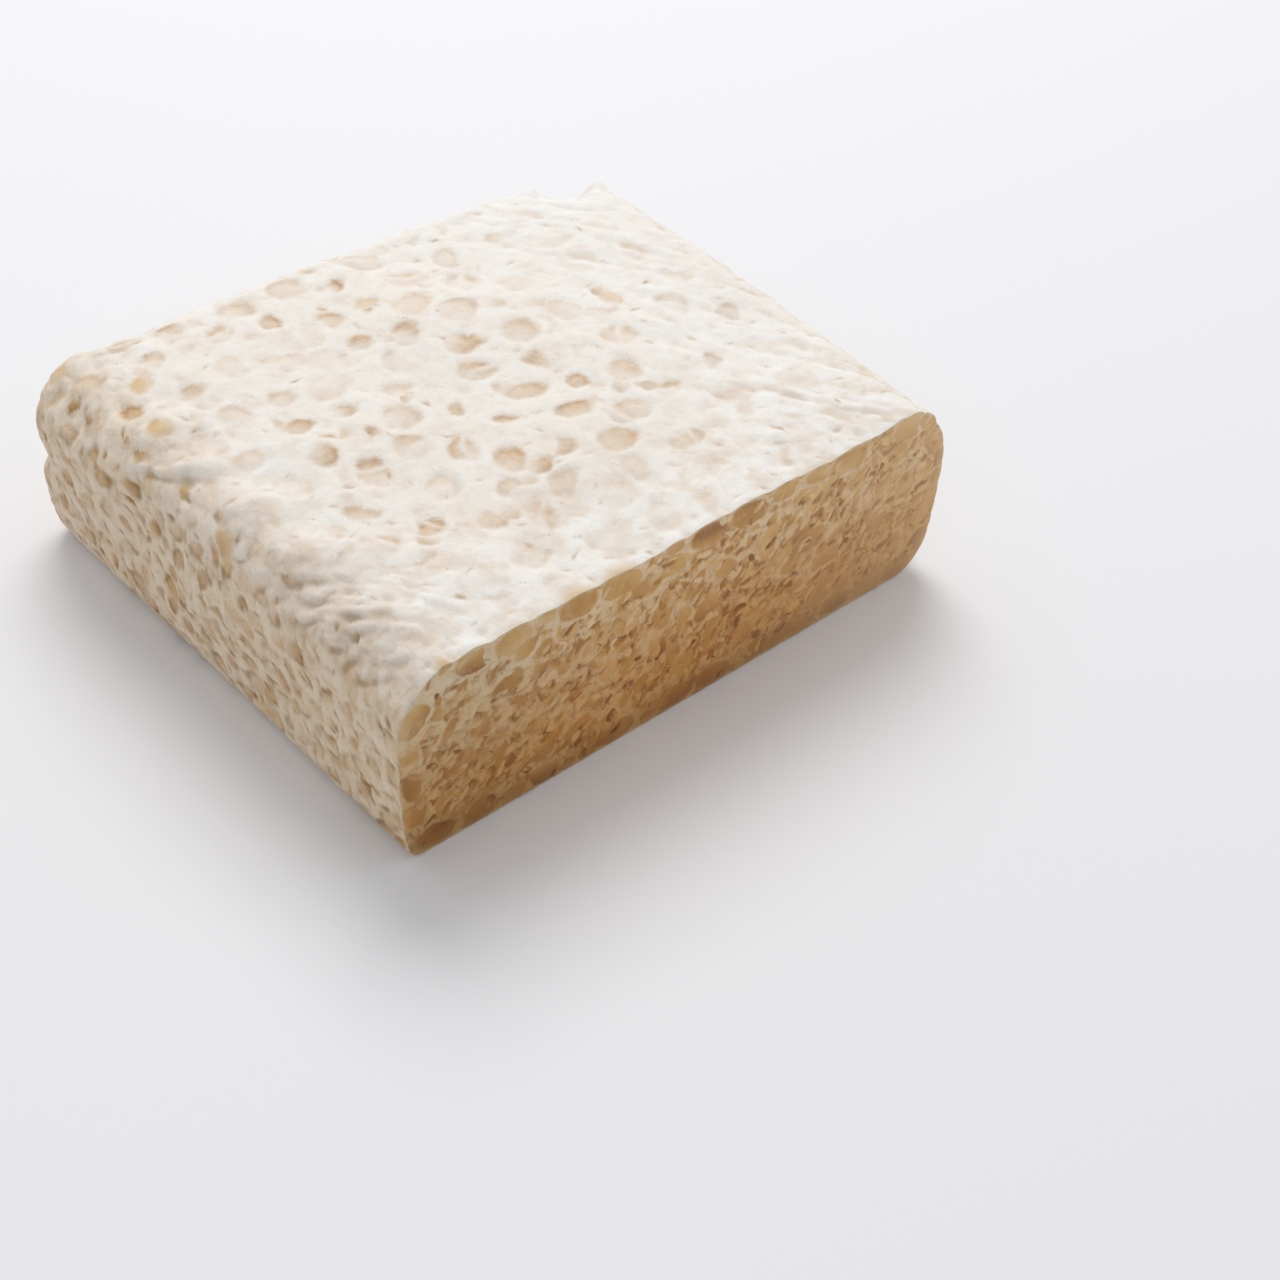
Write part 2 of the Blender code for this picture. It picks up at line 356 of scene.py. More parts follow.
def tangent_frame(n, turn):
    helper = np.array([1.0, 0.0, 0.0]) if abs(n[0]) < 0.8 else np.array([0.0, 1.0, 0.0])
    t = helper - n * (helper @ n)
    t /= np.linalg.norm(t)
    b = np.cross(n, t)
    return t * math.cos(turn) + b * math.sin(turn), b * math.cos(turn) - t * math.sin(turn)


def smooth_over(values, links, rounds):
    """Averages values with those of linked points, over and over."""
    a, b = links[:, 0], links[:, 1]
    n = len(values)
    degree = np.bincount(a, minlength=n) + np.bincount(b, minlength=n)
    for _ in range(rounds):
        total = np.bincount(a, weights=values[b], minlength=n) + np.bincount(b, weights=values[a], minlength=n)
        values = 0.4 * values + 0.6 * total / np.maximum(degree, 1)
    return values


def mesh_links(quads, tris):
    pairs = [np.stack([f[:, k], f[:, (k + 1) % f.shape[1]]], 1) for f in (quads, tris) for k in range(f.shape[1])]
    return np.unique(np.sort(np.concatenate(pairs), axis=1), axis=0)


def pick_spots(draw, base, normal, top, under, thick):
    """Where beans show: large ones on the top, close small ones on the walls, and slits and specks."""
    x, y, z = base[:, 0], base[:, 1], base[:, 2]
    spots = []
    own = np.random.RandomState(97)

    def add(c, n, a, b, strength, depth, hue, fade=0.0, accent=0.0, lean=None, soft=0.0, turn=None, dome=0.6, gold=0.0):
        spots.append(
            dict(c=c, n=n, a=a, b=b, turn=draw.uniform(0, math.pi) if turn is None else turn, strength=strength, depth=depth, hue=hue, fade=fade, accent=accent, lean=draw.uniform(-math.pi, math.pi) if lean is None else lean, soft=soft, dome=dome, gold=gold, veil=(0, 0.0, 0.0))
        )

    def vivid(c):
        # Here and there a bean keeps its strong yellow, most of all along the left shoulder.
        share = 0.04 + 0.42 * float(np.exp(-((c[0] / 13.0) ** 2))) * float(smoothstep(26.0, 36.0, c[2])) * float(smoothstep(30.0, 60.0, c[1]))
        return draw.uniform(0.60, 1.0) * (1.0 - 0.40 * float(smoothstep(18.0, 40.0, c[0]))) if draw.rand() < share else 0.0

    # The top: beans just under the mould, many half covered, some side by side.
    keep = (top > 0.5) & (y > 3.5)
    spacing = 9.1 + 2.2 * smoothstep(70.0, 110.0, x) + 0.9 * smoothstep(40.0, 8.0, y) + 1.1 * draw.uniform(-1.0, 1.0, len(x))
    for i in scatter(draw, base, normal, keep * 1.0, spacing, 400):
        c, n = base[i], normal[i]
        kind = draw.rand()
        cover = thick[i]
        if kind < 0.26:
            a, strength, depth, hue = draw.uniform(2.1, 3.3), draw.uniform(0.75, 1.0), draw.uniform(0.50, 0.75), draw.uniform(0.35, 0.85)
        elif kind < 0.76:
            a, strength, depth, hue = draw.uniform(3.0, 4.4), draw.uniform(0.50, 0.95), draw.uniform(0.45, 0.80), draw.uniform(0.05, 0.60)
        else:
            a, strength, depth, hue = draw.uniform(3.8, 5.2), draw.uniform(0.30, 0.55), draw.uniform(0.30, 0.60), draw.uniform(0.0, 0.30)
        strength *= 0.92 - 0.72 * cover
        depth *= 0.90 - 0.40 * cover
        # Painted shade: a dark arc along the far rim, where the pit's wall faces away from the light.
        accent = draw.uniform(0.05, 0.42) * (1.0 - cover) if draw.rand() < 0.45 else 0.0
        a *= 1.06
        b = a * draw.uniform(0.58, 0.92)
        # The mould creeps over most of them from the same side, so they are clearest at the other.
        turn = draw.uniform(0.0, math.pi)
        t, s = tangent_frame(n, turn)
        clear = math.radians(52.0) + draw.normal() * 0.75
        clear = np.array([math.cos(clear), math.sin(clear), 0.0])
        lean = math.atan2(clear @ s, clear @ t)
        gold = vivid(c)
        if gold and thick[i] < 0.8:
            strength, a, b = draw.uniform(0.7, 1.0), min(a, 2.7), min(b, 2.1)
        add(c, n, a, b, strength, depth, hue, draw.uniform(0.2, 1.0), accent, lean, draw.uniform(0.1, 0.8), turn, dome=draw.uniform(0.45, 0.95), gold=gold)
        # Over some of them the mould leaves one side free up to a clear line, or lays a strand across.
        kind = own.rand()
        if a > 2.9 and kind < 0.34:
            spots[-1]["veil"] = (1 if kind < 0.20 else 2, lean + own.normal() * 0.6, own.uniform(-0.25, 0.30))
        if draw.rand() < 0.30 and cover < 0.6:
            t, s = tangent_frame(n, draw.uniform(0, 2 * math.pi))
            size = a * draw.uniform(0.45, 0.8)
            away = 0.80 * (a + size) * draw.uniform(0.8, 1.15)
            add(c + t * away, n, size, size * draw.uniform(0.6, 0.9), strength * draw.uniform(0.6, 1.2), depth * 0.8, draw.uniform(0.1, 0.9), draw.uniform(0.2, 0.9), accent * draw.rand(), None, 0.2)
    # Smaller, fainter marks between them.
    for i in scatter(draw, base, normal, keep * (0.40 - 0.20 * smoothstep(60, 110, x)), np.full(len(x), 7.6), 130):
        a = draw.uniform(1.2, 2.6)
        cover = thick[i]
        add(base[i], normal[i], a, a * draw.uniform(0.35, 0.75), draw.uniform(0.15, 0.50) * (1.0 - 0.7 * cover), draw.uniform(0.12, 0.35), draw.uniform(0.0, 0.6), draw.uniform(0.3, 1.0), 0.2 * draw.rand(), None, 0.8)

    # The walls: beans packed close, more often than not with a dark slit of painted shade beside each.
    keep = (top < 0.5) & (under < 0.6) & (y > 1.5) & (z > 1.2)
    spacing = 4.9 + 1.3 * draw.uniform(-1.0, 1.0, len(x)) + 1.5 * smoothstep(0.25, 0.5, top)
    for i in scatter(draw, base, normal, keep * 1.0, spacing, 3500):
        a = draw.uniform(1.4, 3.1)
        strength = draw.uniform(0.45, 1.0) * (1.0 - 0.75 * thick[i])
        slit = draw.uniform(0.7, 1.15) * (1.0 - 0.4 * thick[i]) if draw.rand() < 0.66 else 0.0
        gold = vivid(base[i])
        if gold and thick[i] < 0.8:
            strength, a = draw.uniform(0.8, 1.0), min(a, 2.0)
        elif draw.rand() < 0.50:
            gold = draw.uniform(0.45, 1.0)
        add(base[i], normal[i], a, a * draw.uniform(0.5, 0.85), strength, draw.uniform(0.3, 0.75), draw.uniform(0.40, 1.05), draw.uniform(0.0, 0.9), slit, None, 0.1, dome=0.75, gold=gold)
    # Narrow dark slits between them: painted shade in the gaps.
    for i in scatter(draw, base, normal, keep * 1.0, 3.2 + 0.9 * draw.uniform(-1.0, 1.0, len(x)) + 2.2 * thick, 4500):
        a = draw.uniform(0.7, 1.9)
        n = normal[i]
        t, s = tangent_frame(n, 0.0)
        run = np.array([0.0, 0.74, 0.68]) if abs(n[0]) > abs(n[1]) else np.array([0.76, 0.0, 0.65])
        turn = math.atan2(run @ s, run @ t) + draw.normal() * 0.55
        add(base[i], n, a, a * draw.uniform(0.22, 0.45), draw.uniform(0.6, 1.0) * (1.0 - 0.5 * thick[i]), draw.uniform(0.25, 0.65), draw.uniform(0.6, 1.0), 0.0, draw.uniform(0.2, 1.0), None, 0.0, turn, 0.0)

    # Specks and short dashes on the top, most of them near the cut and at the left shoulder.
    busy = top * (0.10 + 0.9 * np.exp(-((y / 20.0) ** 2)) + 0.6 * np.exp(-((x / 14.0) ** 2)) + 0.15 * smoothstep(95.0, 115.0, x))
    along = math.atan2(-0.6, 0.8)
    for i in scatter(draw, base, normal, np.clip(busy, 0, 1) * (y > 1.5), np.full(len(x), 4.2), 420):
        a = draw.uniform(0.6, 1.6)
        n = normal[i]
        t, s = tangent_frame(n, 0.0)
        want = np.array([math.cos(along), math.sin(along), 0.0])
        turn = math.atan2(want @ s, want @ t) + draw.normal() * 0.5
        add(base[i], n, a, a * draw.uniform(0.22, 0.45), draw.uniform(0.15, 0.65), draw.uniform(0.10, 0.35), draw.uniform(0.3, 0.9), 0.0, 0.8 * draw.rand() ** 2, None, 0.0, turn, 0.0)
    return spots


def paint_spots(base, spots, warp):
    """Signed distance into the nearest bean with what shows there, and the relief of all of them."""
    bent_co = base + warp
    n = len(base)
    f = {"edge": np.full(n, -4.0), "power": np.zeros(n), "tone": np.full(n, 0.4), "accent": np.zeros(n), "gold": np.zeros(n), "pit": np.zeros(n), "dome": np.zeros(n), "lip": np.zeros(n)}
    order = np.argsort(base[:, 1], kind="stable")
    ys = base[order, 1]
    for s in spots:
        c, a, b = s["c"], s["a"], s["b"]
        t, k = tangent_frame(s["n"], s["turn"])
        reach = a * 1.8 + 1.6
        part = order[np.searchsorted(ys, c[1] - reach) : np.searchsorted(ys, c[1] + reach)]
        near = part[(np.abs(base[part, 0] - c[0]) < reach) & (np.abs(base[part, 2] - c[2]) < reach)]
        if not len(near):
            continue
        d = bent_co[near] - c
        u, v, w = d @ t, d @ k, d @ s["n"]
        v = v + 0.10 * u * u / a
        r = np.sqrt((u / a) ** 2 + (v / b) ** 2 + (w / (2.0 * a)) ** 2)
        size = math.sqrt(a * b)
        lean = (u * math.cos(s["lean"]) + v * math.sin(s["lean"])) / size
        hidden = s["fade"] * smoothstep(0.55, -0.85, lean)
        kind, turn, off = s["veil"]
        if kind:
            beyond = (u * math.cos(turn) + v * math.sin(turn)) / size - off + 0.16 * np.sin(2.2 * (v * math.cos(turn) - u * math.sin(turn)) / size + 9.0 * off)
            strand = smoothstep(0.16, -0.16, beyond) if kind == 1 else np.exp(-((beyond / 0.20) ** 2))
            hidden = np.maximum(hidden, 0.95 * strand)
        inside = (1.0 - r) * size
        shown = s["strength"] * (1.0 - 0.80 * hidden)
        if s["dome"] > 0.0:
            # Painted shade: a dark arc at the rim on the clear side; without a dome, a dark core for slits and specks.
            dark = s["accent"] * smoothstep(0.0, 0.75, lean) * smoothstep(0.40, 0.85, r)
        else:
            dark = s["accent"] * smoothstep(1.15, 0.25, r)
        soft = inside * (1.0 - 0.55 * hidden) / (1.0 + s["soft"])
        take = soft > f["edge"][near]
        at = near[take]
        f["edge"][at], f["power"][at], f["tone"][at], f["accent"][at], f["gold"][at] = soft[take], shown[take], (s["hue"] + 0.18 * np.clip(lean, -1.0, 1.0))[take], dark[take], s["gold"]
        depth = s["depth"] * (1.0 - 0.45 * hidden)
        f["pit"][near] = np.maximum(f["pit"][near], depth * (0.62 * smoothstep(-0.30 * min(size, 2.2) - 0.2, 0.30 * size + 0.20, inside) + 0.50 * smoothstep(-2.8, 0.5, inside)))
        centre = 0.22 * s["dome"]
        du, dv = u - centre * math.cos(s["lean"]) * a, v - centre * math.sin(s["lean"]) * b
        bulge = np.clip(1.0 - (du / a) ** 2 - (dv / b) ** 2, 0.0, 1.0)
        f["dome"][near] = np.maximum(f["dome"][near], s["depth"] * s["dome"] * bulge)
        f["lip"][near] = np.maximum(f["lip"][near], s["depth"] * 0.18 * np.exp(-(((inside + 1.3) / 1.0) ** 2)))
    return f


def shoulder_relief(base, top, normal):
    """The soft folds of the left shoulder: pillows, one roll that hangs over, and fine folds towards the cut. Returns
    the relief, painted shade for the grooves and under the roll, and a mask near the roll where the mould lies thick.
    """
    x, y, z = base[:, 0], base[:, 1], base[:, 2]
    out = np.zeros(len(base))
    draw = np.random.RandomState(5)
    near_left = 1.0 - smoothstep(12.0, 26.0, x)
    for y0, along, across, high, tall in ((59.0, 9.5, 7.0, 41.5, 1.25), (43.5, 7.0, 6.0, 42.5, 0.75), (88.0, 8.0, 5.0, 41.5, 0.7), (101.0, 6.5, 5.5, 41.0, 0.6), (27.0, 7.5, 5.0, 41.0, 0.6)):
        up = (x - 2.0) * 0.75 + (z - high) * 0.75  # across the shoulder, up and inwards
        r2 = ((y - y0 + 0.35 * up) / along) ** 2 + (up / across) ** 2
        out += tall * np.exp(-(r2**1.5)) * near_left
    # Behind the first pillow the skin hangs over in a soft roll that starts on the wall and dies out on the top.
    up = (x + z) * 0.75
    line = 65.3 + 7.5 * np.exp(-(np.clip(up, 30.0, 60.0) - 33.0) / 4.0) + 1.3 * noise(base, 6.0, 301)
    gap = y - line
    on = smoothstep(28.5, 33.0, up) * (1.0 - smoothstep(38.5, 45.0, up + 1.5 * noise(base, 5.0, 303))) * smoothstep(30.0, 36.0, z)
    on = on * np.clip(0.85 + 0.7 * noise(base, 7.0, 308), 0.3, 1.2)
    out += on * (0.58 * np.exp(-(((gap - 4.2) / 2.4) ** 2)) - 0.48 * np.exp(-(((gap - 0.1) / 2.0) ** 2)))
    # Painted shade under the overhanging roll.
    crease = 0.24 * on * np.exp(-(((gap - 0.6) / 1.5) ** 2)) * np.clip(0.75 + 0.8 * noise(base, 3.0, 304), 0.0, 1.0)
    quiet = on * np.exp(-(((gap - 1.0) / 5.0) ** 2))
    # Parallel folds that run from the wall on to the top, close to the cut.
    across = 0.78 * up + 0.625 * y + 2.2 * noise(base, 10.0, 305) + 0.5 * noise(base, 4.5, 306)
    where = np.exp(-(((y - 23.0) / 14.0) ** 2)) * smoothstep(24.0, 30.0, up) * (1.0 - smoothstep(39.0, 47.0, up)) * near_left
    where *= np.clip(0.50 + 1.7 * noise(base, 6.5, 307), 0.0, 1.0)
    fold = 0.5 + 0.5 * np.cos(2.0 * math.pi * across / 4.1)
    fold = fold**1.3
    out += where * (0.30 - 0.72 * fold)
    # The tips of the two pleats at the sunken corner, and a groove across the skin in front of it.
    for cx, cy, cz, tall, wide in ((126.3, 117.8, 42.0, 1.1, 2.2), (140.6, 110.6, 41.3, 0.7, 2.0)):
        out += tall * np.exp(-(((x - cx) ** 2 + (y - cy) ** 2 + (z - cz) ** 2) / wide**2))
    along, across = corner_frame(x, y)
    pinched = top * np.exp(-(((across + 1.0) / 7.0) ** 4)) * np.clip(0.6 + 0.9 * noise(base, 4.0, 312), 0.0, 1.0)
    bend = along + 4.5 + 0.05 * across * across + 1.2 * noise(base, 6.0, 313)
    out += pinched * (0.30 * np.exp(-(((bend + 1.6) / 1.2) ** 2)) - 0.45 * np.exp(-((bend / 0.9) ** 2)))
    # Painted shade in that groove.
    corner = 0.60 * pinched * np.exp(-((bend / 0.8) ** 2))
    # A long fold on the right runs from the middle down to the corner of the cut.
    bend = (x - 112.0) * 0.88 + (y - 26.0) * 0.47 + 1.6 + 1.5 * noise(base, 9.0, 309) + 0.5 * noise(base, 3.5, 310)
    length = smoothstep(46.0, 32.0, y) * smoothstep(1.0, 6.0, y) * top * np.clip(0.7 + 0.9 * noise(base, 8.0, 311), 0.1, 1.1)
    out += length * (0.40 * np.exp(-(((bend - 1.7) / 1.4) ** 2)) - 0.56 * np.exp(-((bend / 1.0) ** 2)))
    # Painted shade in the right fold's groove, joined with the rest, and in the valleys of the fine folds.
    crease = np.maximum(np.maximum(crease, corner), 0.72 * length * np.exp(-((bend / 0.85) ** 2)))
    return out, np.maximum(crease, 0.9 * where * fold), quiet


def over_row(row, q, loop):
    """How high the skin near the cut lies over the row of ovals, and how much of their colour comes through."""
    row, path, total = row
    high, tint = np.full(len(loop), -0.30), np.zeros(len(loop))
    for o in row:
        gap = np.abs(path - o["s"])
        gap = np.minimum(gap, total - gap) / o["a"]
        bulge = np.clip(1.0 - gap * gap, 0.0, 1.0) ** 0.7
        high = np.maximum(high, -0.30 + 0.64 * bulge)
        tint = np.maximum(tint, o["tint"] * bulge)
    near = np.nonzero(q[:, 1] < 10.0)[0]
    rim = q[loop]
    lift, colour = np.zeros(len(q)), np.zeros(len(q))
    for start in range(0, len(near), 4000):
        part = near[start : start + 4000]
        d = (q[part, None, 0] - rim[None, :, 0]) ** 2 + (q[part, None, 2] - rim[None, :, 2]) ** 2
        at = d.argmin(1)
        lift[part], colour[part] = high[at], tint[at]
    return lift, colour


def run_scene():
    draw = np.random.RandomState(8)
    q, quads, tris, loop = skin_grid()
    base = slab(q, False)
    centre = np.array([(base[:, 0].min() + base[:, 0].max()) / 2.0, (base[:, 1].min() + base[:, 1].max()) / 2.0, 0.0])
    normal = vertex_normals(base, quads, tris)
    links = mesh_links(quads, tris)
    x, y, z = base[:, 0], base[:, 1], base[:, 2]
    top = smoothstep(0.35, 0.85, normal[:, 2])  # 1 on the top, 0 on the walls
    under = smoothstep(0.2, 0.8, -normal[:, 2])
    broad = layers(base, 30.0, 2, 3)
    patch = layers(base, 14.0, 2, 4)

    # How white and thick the mould is: 1 hides the beans, 0 lets them show.
    near_cut = np.exp(-((y / 17.0) ** 2))
    shoulder = (1.0 - smoothstep(8.0, 30.0, x)) * smoothstep(0.15, 0.6, normal[:, 2])
    shoulder_front = shoulder * (1.0 - smoothstep(64.0, 84.0, y))
    right_part = smoothstep(92.0, 130.0, x)
    back_corner = smoothstep(62.0, 118.0, x) * smoothstep(88.0, 118.0, y)
    thick_top = 0.05 + 0.25 * near_cut + 0.55 * (1.0 - smoothstep(14.0, 34.0, y)) + 0.75 * shoulder_front + 0.72 * right_part + 0.42 * back_corner + 0.22 * broad + 0.16 * patch
    thick_side = 0.20 + 0.55 * patch + 0.30 * broad + 0.45 * smoothstep(30.0, 38.0, z) * (1.0 - smoothstep(64.0, 92.0, y)) * (1.0 - smoothstep(40.0, 60.0, x))
    # The second mask is painted shade for the grooves of the folds and under the roll.
    relief, relief_fold_shade, quiet = shoulder_relief(base, top, normal)
    thick = np.clip(np.maximum(top * thick_top + (1.0 - top) * thick_side, quiet), 0.0, 0.95)

    spots = pick_spots(draw, base, normal, top, under, thick)
    warp = np.stack([0.62 * noise(base, 5.0, s) + 0.30 * noise(base, 2.2, s + 7) for s in (41, 42, 43)], 1)
    f = paint_spots(base, spots, warp)
    edge = f["edge"]

    # Relief of the mould itself.
    turn = math.radians(-56.0)
    along = np.stack([x * math.cos(turn) + y * math.sin(turn), -x * math.sin(turn) + y * math.cos(turn) + 0.7 * (z - HEIGHT), z * 0.0], 1) + 1.2 * warp
    fold = 1.0 - np.abs(layers(along, (12.0, 3.1, 7.0), 2, 51)) * 1.7
    fold = np.clip(fold - 0.35, 0.0, 1.0) ** 1.5
    # On the right they run the whole way from the back to the cut.
    long_way = np.stack([x + 0.5 * y, y, z * 0.0], 1) + 1.6 * warp
    streak = noise(long_way, (3.6, 17.0, 9.0), 53) + 0.5 * noise(long_way, (1.9, 10.0, 9.0), 54)
    streaky = top * smoothstep(84.0, 108.0, x) * np.clip(0.75 + 0.8 * noise(base, 15.0, 55), 0.0, 1.0)
    wrinkled = 0.95 * np.exp(-(((y - 24.0) / 15.0) ** 2)) * (1.0 - smoothstep(12.0, 30.0, x)) * smoothstep(0.15, 0.6, normal[:, 2])
    wrinkled += top * (0.30 * np.exp(-(((y - 8.0) / 12.0) ** 2)) + 0.42 * right_part * (1.0 - 0.5 * smoothstep(70.0, 110.0, y)) + 0.34 * back_corner)
    wrinkled = np.clip(wrinkled * (0.75 + 0.6 * patch), 0.0, 1.0)
    bean = smoothstep(-0.5, 0.5, edge)
    lumps = 0.34 * layers(base, 11.0, 2, 61) + 0.30 * noise(base, 5.2, 62) + 0.16 * noise(base, 3.0, 63)
    lumps *= top * (0.60 + 0.55 * shoulder_front + 0.55 * near_cut + 0.8 * smoothstep(96.0, 118.0, y)) + (1.0 - top) * (0.75 + 0.5 * smoothstep(24.0, 36.0, z))
    far_left = (1.0 - smoothstep(10.0, 24.0, x)) * smoothstep(64.0, 84.0, y) * smoothstep(28.0, 38.0, z)
    lumps += far_left * (0.55 * noise(base, 7.0, 65) + 0.40 * noise(base, 3.8, 66))
    lumps += 0.32 * smoothstep(106.0, 120.0, y) * smoothstep(30.0, 38.0, z) * noise(base, 4.6, 67)
    dents = np.clip(1.5 * noise(base, 3.4, 64) - 0.62, 0.0, 1.0) * (0.30 + 0.70 * near_cut + 0.5 * shoulder)
    fluff = (0.15 + 0.10 * near_cut * top + 0.24 * (1.0 - top) + 0.10 * shoulder) * layers(base, 2.2, 2, 71, 0.65)
    # Near the cut the skin rises and falls over the row of beans under it, which tint it where it is thin.
    row = pick_row(draw, base[loop])
    lift, tint = over_row(row, q, loop)
    relief += lift * np.exp(-((y / 3.6) ** 2)) * (1.0 - under) * smoothstep(0.5, 4.0, z)
    mould = 0.42 * streaky * streak + (1.0 - 0.75 * bean) * (fluff - 0.55 * dents - (0.62 + 0.55 * shoulder_front) * wrinkled * fold) + lumps
    height = mould + f["lip"] - f["pit"] + f["dome"] * 1.0
    # The skin is drawn tight between thicker strands, so it rounds off towards the hollows.
    height = 0.55 * height + 0.45 * smooth_over(height, links, 2)
    height = height + relief
    calm = (1.0 - 0.8 * under) * smoothstep(0.2, 4.0, z) * (0.35 + 0.35 * top + (0.65 - 0.35 * top) * smoothstep(0.0, 4.0, y))
    height *= calm
    body = slab(q)
    skin_co = body + vertex_normals(body, quads, tris) * height[:, None]
    skin_co[:, 2] = np.maximum(skin_co[:, 2], 0.0)
    skin_co[loop, 1] = 0.0
    # How far each point lies below its smoothed surroundings; the colour paints shade into these hollows and a
    # highlight on what stands up.
    hollow = smooth_over(height, links, 26) - height
    hollow = np.where(under > 0.5, 0.0, hollow)

    # The skin's cut edge: it turns on to the cut and goes back inside, then a flat wall behind closes it.
    ring0 = skin_co[loop]
    tangent = np.roll(ring0, -1, 0) - np.roll(ring0, 1, 0)
    inward = np.stack([tangent[:, 2], np.zeros(len(loop)), -tangent[:, 0]], 1)
    inward /= np.linalg.norm(inward, axis=1)[:, None]
    if ((np.array([WIDTH / 2, 0, HEIGHT / 2]) - ring0) * inward).sum(1).mean() < 0:
        inward = -inward
    for _ in range(6):
        inward = (np.roll(inward, 1, 0) + inward * 2 + np.roll(inward, -1, 0)) / 4
    inward /= np.linalg.norm(inward, axis=1)[:, None]
    lip = np.clip(0.10 + 0.05 * noise(ring0, 3.0, 91), 0.05, 0.2)
    count = len(base)
    co = [skin_co]
    rings = [loop]
    for share, shift, out in ((1.0, 0.0, 0.0), (1.0, 0.12, 0.30), (1.0, 0.35, 1.0), (1.0, 1.6, 2.2)):
        ring = ring0 + inward * (lip * share + shift)[:, None]
        ring[:, 1] = out
        rings.append(np.arange(count, count + len(loop)))
        co.append(ring)
        count += len(loop)
    strips = np.concatenate([np.stack([a, b, np.roll(b, -1), np.roll(a, -1)], 1) for a, b in zip(rings[:-1], rings[1:])])
    co = np.concatenate(co)
    extra = len(co) - len(base)
    cap = rings[-1][::-1]
    # The lip winds like the skin it continues.
    n_lip = np.cross(co[strips[:, 2]] - co[strips[:, 0]], co[strips[:, 3]] - co[strips[:, 1]])
    if n_lip[: len(loop), 1].mean() > 0:
        strips = strips[:, ::-1]
        cap = cap[::-1]
    skin = make_mesh("tempeh_skin", co - centre, [quads, tris, strips, cap[None, :]], make_skin_material())

    sharpen(skin, loop)

    def tail(values, fill):
        return np.concatenate([values, np.full(extra, fill)])

    # Close to the cut the skin is so thin that the beans behind it tint it.
    bare = np.exp(-((y / (0.7 + 1.5 * tint)) ** 2)) * (0.20 + 0.80 * tint)
    bare = np.maximum(bare, (1.0 - top) * np.exp(-((y / 1.3) ** 2)) * (0.5 + 0.3 * tint))
    # How white the mould is. Towards the left edge of the top it is greyer: partly thin mould, partly painted shade
    # where the shoulder turns away from the light.
    white = np.clip(0.08 - 0.05 * (1.0 - top) * (1.0 - smoothstep(20.0, 62.0, y)) + 0.80 * top * (1.0 - 0.55 * (1.0 - smoothstep(3.0, 17.0, x)) - 0.07 * (1.0 - smoothstep(55.0, 105.0, x)) - 0.22 * smoothstep(122.0, 140.0, x + 0.06 * y) - 0.06 * (1.0 - smoothstep(20.0, 50.0, y))) + (0.24 - 0.16 * (1.0 - top) * (1.0 - smoothstep(20.0, 62.0, y))) * thick, 0.0, 1.0)
    add_values(
        skin,
        edge=tail(edge, -3.0),
        power=tail(f["power"], 0.0),
        tone=tail(f["tone"], 0.5),
        # Painted shade in dark arcs and slits at the beans' rims, and small dark specks.
        accent=tail(f["accent"], 0.0),
        gold=tail(f["gold"], 0.0),
        white=tail(white, 0.2),
        # Painted shade in hollows and painted highlight on raised parts.
        hollow=tail(hollow, 0.0),
        # Painted shade in the grooves of folds and streaks, in dents and under the roll.
        crease=tail(np.clip(wrinkled * fold * 0.8 + relief_fold_shade * 0.9 + 0.5 * dents * bean + 0.30 * streaky * smoothstep(0.35, 0.9, -streak), 0.0, 1.0), 0.0),
        dashes=tail(np.clip(top * (0.15 + 0.85 * (1.0 - smoothstep(16.0, 44.0, y)) + 0.30 * np.exp(-((x / 22.0) ** 2))), 0.0, 1.0), 0.0),
        cool=tail(np.exp(-((((x - 131.0) / 17.0) ** 2 + ((y - 111.0) / 13.0) ** 2) ** 1.5)), 0.0),
        bare=tail(bare, 1.0),
        under=tail(under, 0.0),
    )
    cut = build_cut(draw, ring0, inward, centre, row)
    return skin, cut


# ---------------------------------------------------------------- the cut end


